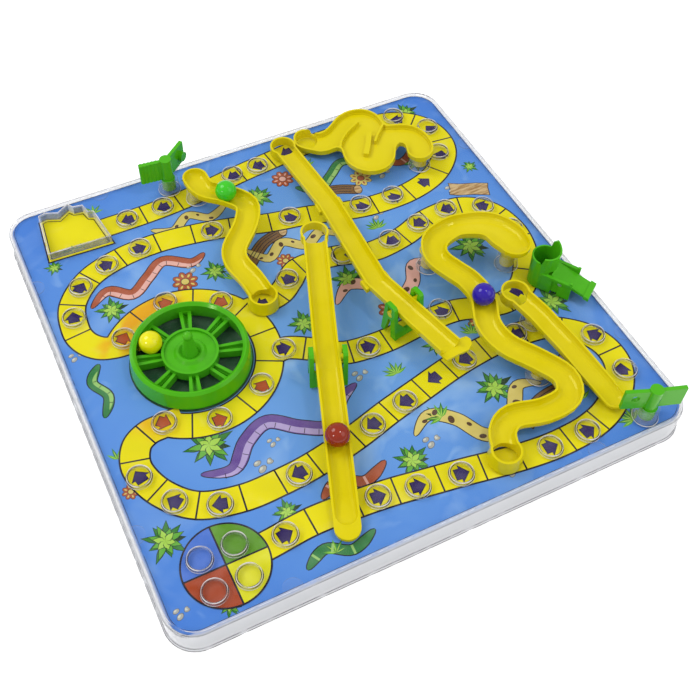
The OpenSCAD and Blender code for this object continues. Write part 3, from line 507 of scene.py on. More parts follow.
THIRD_RUN = [
    (-98, 25.5), (-106, 26.2), (-113, 27), (-120.5, 30), (-126.5, 37.5), (-128.3, 48), (-124.6, 64.8), (-110.1, 79.8),
    (-89, 87), (-66.2, 88.7), (-44.8, 86.4), (-22.9, 82), (0, 75.5), (23.7, 71), (45, 65), (63, 62), (86.9, 62.5),
    (108, 69), (123, 82), (128, 97), (124, 113), (110, 124.5), (88, 128), (66, 128), (44, 127), (21.9, 124.3),
    (0.6, 121.6), (-21, 118), (-43, 115), (-65.7, 113.6), (-92, 113.5)]
# The track goes round the wheel from one angle to the other, in degrees
RING_RADII = (34.5, 48.7)
RING_TURNS = (-130, 146)
# Radius of the painted shade under the wheel, a dark green round patch on the card
WHEEL_SHADE = 33.2

# Places of the lines between cells
DIVIDERS = [
    (-62, -113), (-38.5, -113), (-16.3, -115.5), (5, -118.5), (26.5, -122), (49, -125.5), (74.5, -127), (96, -124.5),
    (126.7, -90), (112, -66), (91.5, -60), (66, -60), (42.6, -63), (22.8, -68), (0.8, -73), (-21, -79.5),
    (-46.5, -85), (-66, -86.7), (-86, -86.7), (-107.4, -81), (-122, -66), (-127, -45), (-117, -30), (-21, -17.7),
    (0.5, -31), (21.2, -32), (44, -30), (65, -30), (95, -36.5), (118, -21), (128, 2), (126, 22), (109, 38.5),
    (86, 38), (66.3, 31.6), (44, 29), (22.9, 35), (1.4, 36), (-17.5, 21), (-128, 43.7), (-124.6, 64.8), (-110, 80),
    (-89, 87), (-66, 88.7), (-44.8, 86.4), (-22.9, 83), (-1, 75.5), (23.7, 71), (43, 65.5), (63, 62), (87, 62.5),
    (111.6, 71), (128, 95.4), (120, 118), (98, 127.5), (66, 128), (44, 127), (21.9, 124), (0.6, 121.8), (-21, 118),
    (-43, 115), (-65.7, 113.6)]
RING_DIVIDERS = [(-93.5, -38.1), (-63, -37.7), (-42, -17), (-41.5, 21.4), (-62, 42), (-95, 40.6), (-37, 2)]

# Places of the purple arrows and of the warm arrows beside the wheel
ARROWS = [
    (-75.75, -113.4), (-26.7, -114.5), (-6.5, -118), (16.4, -121), (64.6, -127.1), (87.1, -127.3), (125.4, -103),
    (125.4, -77.1), (87.1, -59), (53.3, -61.3), (32.1, -65), (11.7, -71.5), (-10, -76.7), (-56, -86), (-97.5, -85.2),
    (-116.9, -74.2), (-127.5, -54.2), (-31, -13.1), (10.7, -31.7), (58.75, -28), (104.5, -32.5), (-29.5, 20),
    (128, 12), (121, 33.3), (100.4, 40), (79.6, 37), (58.3, 31), (32, 32), (-8.9, 30), (-126.8, 56), (-117, 75),
    (-98.1, 85), (-76.7, 89), (-33.3, 84.3), (12.9, 73.4), (55.8, 63.5), (77, 62), (100, 66), (121.3, 83), (127, 107),
    (111.5, 124), (34, 126.5), (12.9, 123), (-4.6, 121), (-52.9, 114.5), (-75.6, 113.6)]
WARM_ARROWS = [(-105.7, -29.6), (-79.2, -40.5), (-51.25, -30.5), (-49.3, 31), (-77.5, 43.5), (-106.7, 30.7)]
# An arrow that points along +X, one unit wide
ARROW = [(-0.36, -0.3), (-0.09, -0.3), (-0.09, -0.5), (0.4, 0.0), (-0.09, 0.5), (-0.09, 0.3), (-0.36, 0.3)]

# The card's corner radius, and the middle of the start circle
CARD_CORNER = 14.0
START = (-106.9, -115.4)
# How far the finish's dark line lies outside its wall, and how far the yellow within stays inside it
YARD_OUT, YARD_IN = 1.3, 1.5

# Ribbons of the garden: the way each runs, its width, its two inks and its pattern
RIBBONS = [
    ([(-100, -66), (-84, -70), (-72, -58), (-58, -52), (-44, -62), (-30, -68), (-18, -56), (-6, -50)], 8.0,
     "purple", "lilac", "underside"),
    ([(6, -92), (18, -84), (30, -92), (38, -106), (50, -110), (60, -100), (70, -88), (82, -92)], 7.5,
     "sand", "umber", "dots"),
    ([(-132, -14), (-126, -2), (-131, 10), (-124, 20)], 5.0, "vine", "vine_light", "underside"),
    ([(-116, 58), (-104, 66), (-92, 58), (-80, 66), (-68, 74), (-54, 66), (-44, 70)], 7.0, "rust", "blush",
     "underside"),
    ([(-22, 62), (-12, 50), (0, 58), (12, 50), (24, 56), (34, 48)], 6.0, "sand", "umber", "dots"),
    ([(8, 2), (20, 12), (32, 6), (42, -8), (54, -2), (62, 10), (76, 6)], 7.5, "blush", "umber", "dots"),
    ([(26, 96), (38, 88), (50, 96), (62, 104), (76, 96)], 6.0, "vine", "vine_light", "underside"),
    ([(-74, -134), (-62, -128), (-50, -134), (-36, -129)], 5.0, "vine", "vine_light", "bars"),
    ([(-66, 100), (-54, 94), (-42, 102), (-30, 95), (-16, 103)], 5.5, "sand", "umber", "dots"),
    ([(96, -88), (106, -82), (112, -92), (106, -104)], 5.5, "purple", "lilac", "bars"),
    ([(84, 98), (94, 88), (106, 94), (112, 106)], 5.0, "rust", "blush", "bars"),
    ([(-52, -104), (-40, -98), (-28, -104), (-14, -98)], 5.5, "rust", "blush", "bars"),
]
# Bushes: place, reach and turn
BUSHES = [
    (-90, -52, 14, 0.2), (-128, -92, 12, 0.5), (-113, -134, 7, 0.1), (58, -84, 12, 0.9), (-2, -104, 11, 0.4),
    (118, -48, 12, 0.3), (-126, 96, 6, 0.0), (-106, 52, 10, 0.7), (-44, 54, 9, 0.2), (22, 16, 11, 0.6),
    (98, 8, 13, 0.1), (-14, -2, 10, 0.8), (2, 98, 11, 0.5), (104, 84, 10, 0.2), (120, 128, 10, 0.9),
    (132, 66, 6, 0.4), (44, -46, 8, 0.1), (-30, 131, 6, 0.3), (84, 112, 8, 0.6), (-70, -103, 8, 0.8)]
# Tufts: place, reach, number of leaves and the way they point; and how far the leaves fan out
TUFTS = [
    (24, -88, 9, 7, 2.0), (96, -110, 8, 7, 1.8), (112, -132, 9, 7, 2.0), (-36, 44, 8, 7, 1.2),
    (40, 110, 8, 7, 1.6), (56, 44, 8, 7, 1.5), (-58, -132, 7, 5, 1.4), (16, -54, 8, 7, 1.6), (134, -30, 7, 5, 2.2),
    (-134, -40, 7, 5, 1.0), (-92, 128, 7, 5, 1.4), (66, -48, 8, 7, 1.2)]
TUFT_FAN = 2.6
# Flowers: place, radius, and the inks of petals and heart
FLOWERS = [
    (-36, -92, 7.0, "rust", "sand"), (74, -42, 7.0, "rust", "sand"), (34, -14, 7.5, "rust", "blush"),
    (-62, 54, 7.5, "rust", "sand"), (-14, 22, 5.5, "sand", "rust"), (84, 22, 9.0, "sand", "umber"),
    (66, 86, 7.0, "sand", "rust"), (104, -64, 5.0, "sand", "rust"), (-4, 44, 5.5, "rust", "sand"),
    (22, 106, 7.0, "rust", "blush"), (-134, -60, 4.5, "rust", "sand")]
# Pebbles: place and size
PEBBLES = [
    (-70, -74, 2.6), (12, -98, 2.4), (116, -80, 2.2), (-2, -46, 2.3), (112, 54, 2.2), (-134, 30, 2.0),
    (-54, 62, 2.2), (60, 54, 2.2), (80, 84, 2.4), (-134, -128, 2.0), (40, -130, 2.2), (-60, -64, 1.8)]
# Fallen logs: the way each lies and its width
LOGS = [
    ([(60, -110), (76, -102), (90, -100)], 9), ([(30, 84), (46, 84), (60, 78)], 7),
    ([(-24, 50), (-10, 62), (4, 66)], 7)]
# The plank: its place, length, width and turn, and its rough outline as shares of the two
PLANK = (121.5, 49, 25, 11, -0.42)
ROUGH = [
    (-0.5, -0.42), (-0.3, -0.5), (0.1, -0.45), (0.5, -0.5), (0.48, 0.1), (0.5, 0.46), (0.2, 0.5), (-0.2, 0.44),
    (-0.5, 0.5), (-0.47, 0.05)]
# Tufts on the finish: place and reach
YARD_TUFTS = [(-117 + 2.6 * k, 104.4, 2.6 + (k % 3) * 0.5) for k in range(5)]


def smooth(points, steps):
    """A round curve through all the points."""
    made = []
    for i in range(len(points) - 1):
        a, b = points[max(i - 1, 0)], points[i]
        c, d = points[i + 1], points[min(i + 2, len(points) - 1)]
        for k in range(steps):
            t = k / steps
            made.append(tuple(
                b[j] + (c[j] - a[j]) * t / 2 + (2 * a[j] - 5 * b[j] + 4 * c[j] - d[j]) * t * t / 2
                + (3 * b[j] - a[j] - 3 * c[j] + d[j]) * t ** 3 / 2 for j in range(len(b))))
    return made + [tuple(points[-1])]


def grown(outline, by):
    """A closed outline, run anticlockwise, with each corner moved out by a distance."""
    made = []
    for i, (x, y) in enumerate(outline):
        before, after = outline[i - 1], outline[(i + 1) % len(outline)]
        a = Vector((y - before[1], before[0] - x)).normalized()
        b = Vector((after[1] - y, x - after[0])).normalized()
        out = (a + b) * (by / (1.0 + a.dot(b)))
        made.append((x + out.x, y + out.y))
    return made


def sideways(points, i):
    """The unit direction to the left of a curve at point i."""
    a, b = points[max(i - 1, 0)], points[min(i + 1, len(points) - 1)]
    reach = math.dist(a, b) or 1.0
    return (a[1] - b[1]) / reach, (b[0] - a[0]) / reach


def beside(points, i, off):
    """The point that lies off to the left of a curve's point i."""
    side = sideways(points, i)
    return points[i][0] + side[0] * off, points[i][1] + side[1] * off


def around(x, y, radius, turn):
    """The point of a circle at a turn in radians."""
    return x + radius * math.cos(turn), y + radius * math.sin(turn)


def bearing(centre, place):
    """The way from a centre to a place, in radians."""
    return math.atan2(place[1] - centre[1], place[0] - centre[0])


def full_turn(count):
    """Evenly spaced turns, in radians, all round a circle."""
    return [2 * math.pi * k / count for k in range(count)]


def rounded_square(half, corner, step):
    """The points of a square with round corners, which have a point every so many degrees."""
    points = []
    for x, y, first in ((1, 1, 0), (-1, 1, 90), (-1, -1, 180), (1, -1, 270)):
        points += [around(x * (half - corner), y * (half - corner), corner, math.radians(first + a))
                   for a in range(0, 91, step)]
    return points


class Drawing:
    """Flat printed shapes over the card, drawn in millimetres; each layer lies just over the last.

    Shapes of one layer differ a little in height, so that two that overlap never share a plane.
    """

    def __init__(self, layer, inks):
        self.mesh = bmesh.new()
        self.layer = layer
        self.inks = inks
        self.used = []
        self.count = 0

    def shape(self, points, ink, layer):
        self.count = (self.count + 1) % STAGGER_STEPS
        height = CARD_TOP + self.layer * (1 + layer + STAGGER_SHARE * self.count)
        face = self.mesh.faces.new([self.mesh.verts.new((x * MM, y * MM, height)) for x, y in points])
        face.normal_update()
        if face.normal.z < 0:
            face.normal_flip()
        if ink not in self.used:
            self.used.append(ink)
        face.material_index = self.used.index(ink)

    def band(self, points, width, ink, layer):
        """A strip along a curve. Its width is one number, or a function of the share run."""
        left, right = [], []
        for i in range(len(points)):
            half = (width(i / (len(points) - 1)) if callable(width) else width) / 2
            left.append(beside(points, i, half))
            right.append(beside(points, i, -half))
        for i in range(len(points) - 1):
            self.shape([left[i], right[i], right[i + 1], left[i + 1]], ink, layer)

    def line(self, start, end, width, ink, layer):
        self.band([start, end], width, ink, layer)

    def placed(self, outline, x, y, turn, ink, layer, size=1.0):
        """An outline turned and moved to its place."""
        c, s = math.cos(turn), math.sin(turn)
        self.shape([(x + (u * c - v * s) * size, y + (u * s + v * c) * size) for u, v in outline], ink, layer)

    def disc(self, x, y, radius, ink, layer, squash=1.0, turn=0.0, sides=40):
        circle = [around(0, 0, radius, a) for a in full_turn(sides)]
        self.placed([(u, v * squash) for u, v in circle], x, y, turn, ink, layer)

    def object(self, name):
        return built(name, self.mesh, [self.inks[ink] for ink in self.used])


def linked(made):
    bpy.context.scene.collection.objects.link(made)
    return made


def built(name, drawn, materials):
    """The object of a drawn mesh, which is used up."""
    mesh = bpy.data.meshes.new(name)
    drawn.to_mesh(mesh)
    drawn.free()
    for material in materials:
        mesh.materials.append(material)
    return linked(bpy.data.objects.new(name, mesh))


def nearest(runs, place):
    """The run that passes closest to a place, and the index of its closest point."""
    return min(((run, i) for run in runs for i in range(len(run))), key=lambda at: math.dist(at[0][at[1]], place))


def draw_arrow(drawing, place, turn, size, ink):
    drawing.placed(ARROW, *place, turn, "line", MARK_LAYER + 1, size * 1.1)
    drawing.placed(ARROW, *place, turn, ink, MARK_LAYER + 2, size * 0.97)


def draw_track(drawing, wide, line, arrow):
    """The painted shade under the wheel, the track's dark edge, its yellow cells, the lines between them and the
    arrows.
    """
    wheel = (WHEEL_X / MM, WHEEL_Y / MM)
    # Painted shade: a dark green disc on the card under the wheel, where the wheel shades the card and its pockets.
    drawing.disc(*wheel, WHEEL_SHADE, "shade", 1, sides=72)
    runs = [smooth(run, 8) for run in (FIRST_RUN, SECOND_RUN, THIRD_RUN)]
    ring = [around(*wheel, sum(RING_RADII) / 2, math.radians(a)) for a in range(RING_TURNS[0], RING_TURNS[1] + 1, 4)]
    for run, low in [(run, TRACK_LAYER) for run in runs] + [(ring, TRACK_LAYER + 1)]:
        drawing.band(run, wide + 2 * line, "line", low)
        drawing.band(run, wide, "track", low + 2)
    half = wide / 2 + line * 0.4
    for place in DIVIDERS:
        run, i = nearest(runs, place)
        drawing.line(beside(run, i, -half), beside(run, i, half), line, "line", MARK_LAYER)
    for place in RING_DIVIDERS:
        start, end = (around(*wheel, radius, bearing(wheel, place)) for radius in RING_RADII)
        drawing.line(start, end, line, "line", MARK_LAYER)
    for place in ARROWS:
        side = sideways(*nearest(runs, place))
        draw_arrow(drawing, place, math.atan2(-side[0], side[1]), arrow, "arrow")
    for place in WARM_ARROWS:
        turn = bearing(wheel, place) + (math.pi / 2 if place[1] < 0 else -math.pi / 2)
        draw_arrow(drawing, place, turn, arrow, "warm_arrow")


def draw_start(drawing, radius, line):
    """The start circle with its four coloured quarters."""
    drawing.disc(*START, radius + line, "line", MARK_LAYER + 1, sides=72)
    for first, ink in ((0, "green"), (90, "blue"), (180, "red"), (270, "yellow")):
        arc = [around(*START, radius, math.radians(first + a)) for a in range(0, 91, 5)]
        drawing.shape([START] + arc, ink, MARK_LAYER + 2)
    for turn in (0, math.pi / 2):
        drawing.line(around(*START, -radius, turn), around(*START, radius, turn), line, "line", MARK_LAYER + 3)


def draw_finish(drawing, line):
    """The finish: a yellow yard with a wavy back edge, a dark edge outside and inside its wall, and grass."""
    for k, (out, ink) in enumerate(((YARD_OUT, "line"), (YARD_OUT - line, "track"), (line * 0.6 - YARD_IN, "line"),
                                    (-YARD_IN, "track"))):
        drawing.shape(grown(FINISH_YARD, out), ink, MARK_LAYER + 1 + k)
    for tuft in YARD_TUFTS:
        draw_tuft(drawing, *tuft, TUFT_LAYER, leaves=3)


def leaf(reach, wide):
    """A pointed leaf from the origin along +X."""
    return [(0, 0), (reach * 0.3, -wide * 0.45), (reach * 0.6, -wide * 0.4), (reach, 0), (reach * 0.6, wide * 0.4),
            (reach * 0.3, wide * 0.45)]


def draw_tuft(drawing, x, y, reach, layer, leaves=7, turn=math.pi / 2):
    """A tuft of pointed leaves, the back ones darker."""
    for k in range(leaves):
        lean = k / (leaves - 1) - 0.5
        long = reach * (1.0 - 0.25 * abs(lean) + 0.12 * (k % 2))
        a = turn + TUFT_FAN * lean
        drawing.placed(leaf(long, reach * 0.26), x, y, a, "leaf_deep" if k % 2 else "leaf", layer)
        drawing.placed(leaf(long * 0.8, reach * 0.07), x, y, a, "leaf_light", layer + 1)


def draw_bush(drawing, x, y, reach, turn):
    """A bush seen from above: three rings of edged leaves, the inner ones paler."""
    for ring, (count, share, ink) in enumerate(((9, 1.0, "leaf_deep"), (8, 0.8, "leaf"), (6, 0.52, "leaf_light"))):
        drawing.count = 0
        for k in range(count):
            a = turn + 2 * math.pi * (k + 0.5 * ring) / count
            long = reach * share * (0.86 + 0.14 * math.sin(5.0 * a + turn))
            drawing.placed(leaf(long * 1.05, reach * 0.34), x, y, a, "leaf_edge", 1 + ring)
            drawing.placed(leaf(long, reach * 0.27), x, y, a, ink, 1 + ring)


def draw_ribbon(drawing, points, wide, base, mark, pattern):
    """A winding ribbon with pointed ends, a dark edge and a pattern of bars, dots or a pale underside."""
    run = smooth(points, 7)
    count = len(run)

    def girth(share, extra=0.0):
        return max(wide * min(1.0, 5.0 * share, 5.0 * (1.0 - share)) ** 0.6, 0.15) + extra

    drawing.band(run, lambda share: girth(share, 1.1), "line", 1)
    drawing.band(run, girth, base, 2)
    if pattern == "underside":
        low = [beside(run, i, -wide * 0.24) for i in range(3, count - 3)]
        drawing.band(low, lambda share: girth(share) * 0.42, mark, 3)
        for i in range(5, count - 5, 3):
            drawing.line(beside(run, i, -wide * 0.44), beside(run, i, -wide * 0.06), 0.35, "line", 4)
    elif pattern == "bars":
        for i in range(4, count - 4, 5):
            half = girth(i / count) * 0.47
            drawing.line(beside(run, i, -half), beside(run, i, half), wide * 0.24, mark, 3)
    else:
        for k, i in enumerate(range(5, count - 5, 4)):
            spot = beside(run, i, wide * (0.16 if k % 2 else -0.16))
            drawing.disc(*spot, wide * (0.2 + 0.06 * (k % 3)), mark, 3, 0.7, k * 0.7, 16)


def draw_flower(drawing, x, y, radius, petal, heart):
    """A round flower of eight broad petals."""
    petals = [(around(x, y, radius * 0.62, a), a) for a in full_turn(8)]
    for spot, a in petals:
        drawing.disc(*spot, radius * 0.40, "line", 1, 0.72, a, 20)
    for spot, a in petals:
        drawing.disc(*spot, radius * 0.36, petal, 2, 0.68, a, 20)
        drawing.disc(*spot, radius * 0.17, heart, 3, 0.5, a, 14)
    drawing.disc(x, y, radius * 0.34, "line", 4, sides=24)
    drawing.disc(x, y, radius * 0.29, heart, 5, sides=24)


def draw_pebbles(drawing, x, y, size):
    """Four oval stones, each with a light spot."""
    for k in range(4):
        px, py = x + size * 1.5 * math.cos(k * 2.2), y + size * 0.9 * math.sin(k * 2.2)
        wide = size * (0.7 + 0.3 * ((k * 7) % 3) / 2)
        drawing.disc(px, py, wide, "line", 1, 0.68, 0.3 * k, 20)
        drawing.disc(px, py, wide * 0.9, "stone", 2, 0.68, 0.3 * k, 20)
        drawing.disc(px - wide * 0.2, py + wide * 0.2, wide * 0.45, "stone_light", 3, 0.6, 0.3 * k, 16)


def draw_plank(drawing, x, y, long, tall, turn):
    """A bare plank with a rough edge."""
    for ink, layer, edge in (("line", 3, 0.0), ("wood", 4, 0.96)):
        drawing.placed([(u * (long - edge), v * (tall - edge)) for u, v in ROUGH], x, y, turn, ink, layer)


def draw_log(drawing, points, wide):
    """A fallen log: bark with a pale cut end."""
    run = smooth(points, 6)
    drawing.band(run, wide + 1.2, "line", 1)
    drawing.band(run, wide, "bark", 2)
    for off in (-0.28, 0.05, 0.3):
        drawing.band([beside(run, i, wide * off) for i in range(2, len(run) - 2)], 0.5, "line", 3)
    drawing.disc(*run[-1], wide * 0.56, "line", 4, 0.7, 1.3, 24)
    drawing.disc(*run[-1], wide * 0.49, "wood", 5, 0.68, 1.3, 24)


def draw_garden(drawing):
    """Plants, stones, ribbons and flowers in the blue between the runs of the track."""
    for log in LOGS:
        draw_log(drawing, *log)
    for ribbon in RIBBONS:
        draw_ribbon(drawing, *ribbon)
    for bush in BUSHES:
        draw_bush(drawing, *bush)
    for x, y, reach, leaves, turn in TUFTS:
        draw_tuft(drawing, x, y, reach, 2, leaves, turn)
    for flower in FLOWERS:
        draw_flower(drawing, *flower)
    for pebbles in PEBBLES:
        draw_pebbles(drawing, *pebbles)
    draw_plank(drawing, *PLANK)


def print_inks(look):
    plain = {
        "line": look.line, "arrow": look.arrow, "warm_arrow": look.warm_arrow,
        "leaf": rgb(92, 168, 44), "leaf_deep": rgb(44, 122, 38), "leaf_light": rgb(164, 208, 74),
        "leaf_edge": rgb(20, 58, 24), "shade": rgb(18, 72, 40),
        "purple": rgb(102, 74, 148), "lilac": rgb(176, 158, 206), "sand": rgb(214, 196, 104),
        "umber": rgb(84, 56, 32), "rust": rgb(168, 82, 48), "blush": rgb(226, 172, 160),
        "vine": rgb(52, 126, 66), "vine_light": rgb(150, 196, 110), "stone": rgb(168, 168, 158),
        "stone_light": rgb(206, 208, 196), "bark": rgb(126, 90, 46),
        "green": rgb(92, 150, 30), "blue": rgb(68, 114, 206), "red": rgb(168, 66, 24), "yellow": rgb(222, 220, 14)}
    inks = {key: plain_ink(key + "_ink", tint) for key, tint in plain.items()}
    inks["sea"] = sea_ink("sea_ink", look.sea, look.sea_light, look.sea_deep)
    inks["track"] = track_ink("track_ink", look.track, look.glow)
    inks["wood"] = wood_ink("wood_ink", rgb(206, 178, 132), rgb(160, 124, 78))
    return inks


def dress(material, *nodes):
    """Gives CAD nodes their material."""
    for node in nodes:
        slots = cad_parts[node].data.materials
        slots.clear()
        slots.append(material)


class BOARD_OT_print_card(bpy.types.Operator):
    """Print the track, the start circle, the finish and the garden on the card"""

    bl_idname = "board.print_card"
    bl_label = "Print Card"

    def execute(self, context):
        look = context.scene.board_print
        drawing = Drawing(look.layer, print_inks(look))
        line = look.line_width / MM
        drawing.shape(rounded_square(CARD_HALF / MM, CARD_CORNER, 10), "sea", 0)
        draw_garden(drawing)
        draw_track(drawing, look.track_width / MM, line, look.arrow_width / MM)
        draw_start(drawing, look.start_radius / MM, line)
        draw_finish(drawing, line)
        card = drawing.object("card_print")
        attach(card, "board")
        dress(drawing.inks["sea"], "printed_card")
        return {"FINISHED"}


def islands(node):
    """The lowest and highest corners of each separate solid of a node, in the order of their places."""
    mesh = bmesh.new()
    mesh.from_mesh(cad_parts[node].data)
    bmesh.ops.remove_doubles(mesh, verts=mesh.verts, dist=0.01 * MM)
    left, boxes = set(mesh.verts), []
    while left:
        reached, found = [left.pop()], []
        while reached:
            vertex = reached.pop()
            found.append(vertex.co.copy())
            for edge in vertex.link_edges:
                other = edge.other_vert(vertex)
                if other in left:
                    left.remove(other)
                    reached.append(other)
        boxes.append((Vector(map(min, zip(*found))), Vector(map(max, zip(*found)))))
    mesh.free()
    return sorted(boxes, key=lambda box: tuple(box[0]))


class PaintedEdgeStrips:
    """Thin round strips along the edges of clear pieces: painted glints and painted shade."""

    def __init__(self, inks):
        self.mesh = bmesh.new()
        self.inks = inks

    def loop(self, points, width, ink):
        """A closed strip whose width is one number, or a function of the point's index."""
        rows = []
        for i, point in enumerate(points):
            here, before, after = Vector(point), Vector(points[i - 1]), Vector(points[(i + 1) % len(points)])
            along = (after - before).normalized()
            out = Vector((along.y, -along.x, 0.0)).normalized()
            half = (width(i) if callable(width) else width) / 2
            rows.append([self.mesh.verts.new(here + out * half * math.cos(a) + Vector((0, 0, half * math.sin(a))))
                         for a in full_turn(STRIP_SIDES)])
        for i, row in enumerate(rows):
            after = rows[(i + 1) % len(rows)]
            for k in range(STRIP_SIDES):
                side = (k + 1) % STRIP_SIDES
                face = self.mesh.faces.new([row[k], after[k], after[side], row[side]])
                face.material_index = ink
                face.smooth = True

    def hoop(self, box, inset, height, width, ink):
        """A round strip: a painted glint is widest where its edge catches the light, and a painted shade strip is
        widest between.
        """
        low, high = box
        centre, radius = (low + high) / 2, (high.x - low.x) / 2 - inset
        turns = full_turn(HOOP_POINTS)
        widest = HOOP_LIT + (math.pi / 2 if ink == PAINTED_SHADE_STRIP else 0)
        self.loop([(*around(centre.x, centre.y, radius, a), height) for a in turns],
                  lambda i: width * (HOOP_THIN + (1 - HOOP_THIN) * abs(math.cos(turns[i] - widest))), ink)

    def square(self, half, corner, height, width, ink):
        self.loop([(*point, height) for point in rounded_square(half, corner, 9)], width, ink)

    def object(self, name):
        bmesh.ops.recalc_face_normals(self.mesh, faces=self.mesh.faces)
        made = built(name, self.mesh, self.inks)
        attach(made, "board")


class BOARD_OT_finish_clear(bpy.types.Operator):
    """Finish the clear cover, its rings, posts and finish wall, and the tray below"""

    bl_idname = "board.finish_clear"
    bl_label = "Finish Clear Pieces"

    def execute(self, context):
        look = context.scene.board_plastics
        clear, width = look.clear, look.painted_strip_width
        dress(cover_plastic("cover_clear", clear), "cover")
        dress(clear_plastic("ring_clear", clear, flat_share=0.06, wall_share=0.2), "cell_rings")
        dress(clear_plastic("post_clear", clear, flat_share=0.05, wall_share=0.1), "slide_posts")
        dress(clear_plastic("wall_clear", clear, flat_share=0.2, wall_share=0.3), "finish_wall")
        dress(tray_plastic("tray_white", look.tray), "base_tray")
        # Painted glints and painted shade: thin strips round the rings, the posts, the cover's edges and the top of
        # the finish wall.
        inks = [painted_edge_plastic("edge_glint", look.glint, 0.85), painted_edge_plastic("edge_dark", look.edge, 0.85)]

        rings = PaintedEdgeStrips(inks)
        for box in islands("cell_rings"):
            low, high = box[0].z, box[1].z
            rings.hoop(box, RING_TAPER, high, width, PAINTED_GLINT_STRIP)
            rings.hoop(box, RING_WALL, high - width, width * 0.9, PAINTED_SHADE_STRIP)
            rings.hoop(box, RING_TAPER / 2, (low + high) / 2, width * 0.9, PAINTED_SHADE_STRIP)
            rings.hoop(box, 0, low + width / 4, width * 0.4, PAINTED_GLINT_STRIP)
        rings.object("ring_edges")

        posts = PaintedEdgeStrips(inks)
        for box in islands("slide_posts"):
            foot = box[0].z + width / 4
            posts.hoop(box, 0, foot, width, PAINTED_GLINT_STRIP)
            posts.hoop(box, width, foot, width * 0.5, PAINTED_SHADE_STRIP)
        posts.object("post_edges")

        cover = PaintedEdgeStrips(inks)
        low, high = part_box("cover")
        side = high.x - FOOT_OUT
        cover.square(high.x, CORNER + FOOT_OUT, low.z + width / 2, width * 0.6, PAINTED_SHADE_STRIP)
        cover.square(side, CORNER, low.z + FOOT_HEIGHT, width * 0.5, PAINTED_SHADE_STRIP)
        cover.square(side - BEAD * 0.1, CORNER, high.z - BEAD * 0.3, width * 0.6, PAINTED_SHADE_STRIP)
        cover.square(side - BEAD * 0.5, CORNER, high.z, width * 0.7, PAINTED_GLINT_STRIP)
        cover.square(side - BEAD, CORNER - BEAD, PLATE_TOP, width * 0.5, PAINTED_SHADE_STRIP)
        cover.object("cover_edges")

        yard = PaintedEdgeStrips(inks)
        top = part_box("finish_wall")[1].z
        yard.loop([(x * MM, y * MM, top) for x, y in FINISH_YARD], width * 1.1, PAINTED_GLINT_STRIP)
        yard.object("finish_edges")
        return {"FINISHED"}


class BOARD_OT_finish_slides(bpy.types.Operator):
    """Finish the yellow slides and ladders"""

    bl_idname = "board.finish_slides"
    bl_label = "Finish Slides and Ladders"

    def execute(self, context):
        look = context.scene.board_plastics
        dress(moulded_plastic("yellow_plastic", look.yellow, look.gloss_roughness, gloss=(1.0, 0.96, 0.4)),
              "back_slide", "long_slide", "coil_slide", "short_ladder", "left_ladder", "right_ladder")
        return {"FINISHED"}


class BOARD_OT_finish_turning(bpy.types.Operator):
    """Finish the green wheel, bats, flicker and brackets, and the steel pins"""

    bl_idname = "board.finish_turning"
    bl_label = "Finish Green Pieces"

    def execute(self, context):
        look = context.scene.board_plastics
        dress(moulded_plastic("green_plastic", look.green, look.gloss_roughness + 0.06, gloss=(0.9, 1.0, 0.6)),
              "spinner_wheel", "back_bat", "front_bat", "flicker_cup", "flicker_lever", "left_bracket",
              "right_bracket")
        dress(turned_steel("pin_steel"), "spinner_spindle", "flicker_pin")
        return {"FINISHED"}


class BOARD_OT_finish_balls(bpy.types.Operator):
    """Finish the four polished balls"""

    bl_idname = "board.finish_balls"
    bl_label = "Finish Balls"

    def execute(self, context):
        look = context.scene.board_plastics
        for node in ("red_ball", "blue_ball", "green_ball", "yellow_ball"):
            dress(ball_plastic(node + "_plastic", getattr(look, node)), node)
        return {"FINISHED"}


def lay_floor(studio):
    """A pale floor that shows white to the camera and in gloss, and keeps the board's shadow."""
    mesh = bpy.data.meshes.new("studio_floor")
    mesh.from_pydata([(x * FLOOR_REACH, y * FLOOR_REACH, FLOOR_UP) for x, y in ((-1, -1), (1, -1), (1, 1), (-1, 1))],
                     [], [(0, 1, 2, 3)])
    finish = Finish("floor_white")
    matt = finish.principled({"Base Color": studio.floor, "Roughness": 0.9})
    seen = finish.rays("Camera", "Glossy", "Transmission")
    glow = finish.node("ShaderNodeEmission", values={"Color": (1.0, 1.0, 1.0), "Strength": seen * studio.floor_glow})
    finish.show(finish.node("ShaderNodeAddShader", values={0: matt, 1: glow.outputs[0]}).outputs[0])
    mesh.materials.append(finish.material)
    floor = linked(bpy.data.objects.new("studio_floor", mesh))


def hang_lamps(studio):
    for name, spot, setting, size in LAMPS:
        lamp = bpy.data.lights.new(name, "AREA")
        lamp.shape = "DISK"
        lamp.size = size
        lamp.energy = getattr(studio, setting)
        made = linked(bpy.data.objects.new(name, lamp))
        made.location = spot
        made.rotation_euler = (-Vector(spot)).to_track_quat("-Z", "Y").to_euler()


def light_sky(studio):
    """Even light from all round, which shows white to the camera and through clear plastic."""
    world = bpy.data.worlds.new("studio_sky")
    sky = Nodes(world, "ShaderNodeOutputWorld")
    strength = sky.node("ShaderNodeMapRange", values={
        "Value": sky.rays("Camera", "Transmission"), "To Min": studio.sky, "To Max": 1.0})
    sky.show(sky.node("ShaderNodeBackground", values={
        "Color": (1.0, 1.0, 1.0), "Strength": strength.outputs[0]}).outputs[0])
    bpy.context.scene.world = world


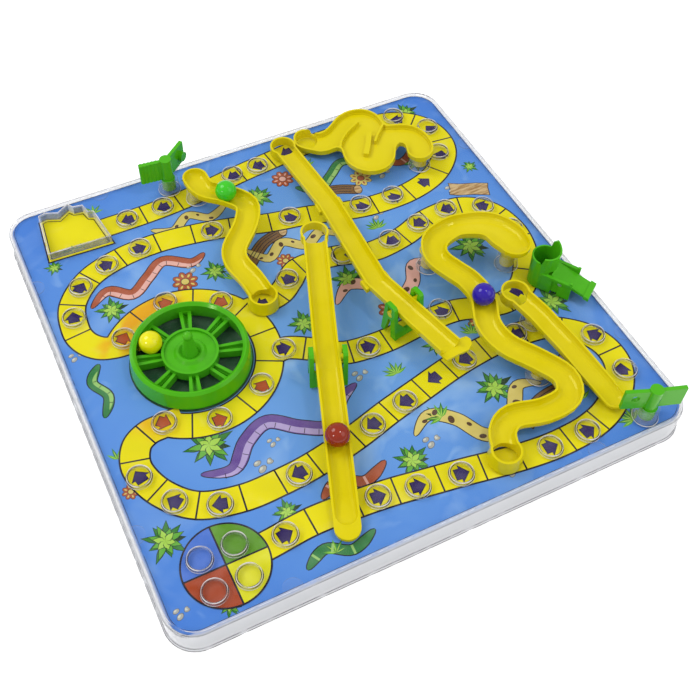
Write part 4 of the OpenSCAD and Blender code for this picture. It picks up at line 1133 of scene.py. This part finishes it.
def set_camera(studio):
    lens = bpy.data.cameras.new("board_camera")
    lens.sensor_width = SENSOR_WIDTH
    lens.lens = studio.lens
    lens.shift_x = studio.shift
    lens.clip_start = 10 * MM
    camera = linked(bpy.data.objects.new("board_camera", lens))
    camera.location = studio.viewpoint
    camera.rotation_mode = "QUATERNION"
    sight = Vector(studio.aim) - Vector(studio.viewpoint)
    camera.rotation_quaternion = sight.to_track_quat("-Z", "Y") @ Quaternion((0, 0, 1), studio.roll)
    bpy.context.scene.camera = camera


class BOARD_OT_set_stage(bpy.types.Operator):
    """Set the pale floor, the soft lights and the camera"""

    bl_idname = "board.set_stage"
    bl_label = "Set Stage"

    def execute(self, context):
        studio = context.scene.board_studio
        lay_floor(studio)
        hang_lamps(studio)
        light_sky(studio)
        set_camera(studio)
        context.scene.view_settings.view_transform = "Standard"
        return {"FINISHED"}


class BOARD_PT_panel(bpy.types.Panel):
    """The board's operators and settings"""

    bl_idname = "BOARD_PT_panel"
    bl_label = "Rolling Ball Board"
    bl_space_type = "VIEW_3D"
    bl_region_type = "UI"
    bl_category = "Board"

    def draw(self, context):
        for operator in OPERATORS:
            self.layout.operator(operator.bl_idname)
        for settings in (context.scene.board_print, context.scene.board_plastics, context.scene.board_studio):
            box = self.layout.box()
            for key in settings.bl_rna.properties.keys():
                if key not in ("rna_type", "name"):
                    box.prop(settings, key)


GROUPS = {"board_print": CardPrint, "board_plastics": Plastics, "board_studio": Studio}
OPERATORS = (BOARD_OT_finish_clear, BOARD_OT_print_card, BOARD_OT_finish_slides, BOARD_OT_finish_turning,
             BOARD_OT_finish_balls, BOARD_OT_set_stage)


CLASSES = (*GROUPS.values(), *OPERATORS, BOARD_PT_panel)


def register():
    for kind in CLASSES:
        bpy.utils.register_class(kind)
    for key, group in GROUPS.items():
        setattr(bpy.types.Scene, key, PointerProperty(type=group))


def unregister():
    for key in GROUPS:
        delattr(bpy.types.Scene, key)
    for kind in reversed(CLASSES):
        bpy.utils.unregister_class(kind)


def main():
    register()
    bpy.ops.board.finish_clear()
    bpy.ops.board.print_card()
    bpy.ops.board.finish_slides()
    bpy.ops.board.finish_turning()
    bpy.ops.board.finish_balls()
    bpy.ops.board.set_stage()


if __name__ == "__main__":
    main()
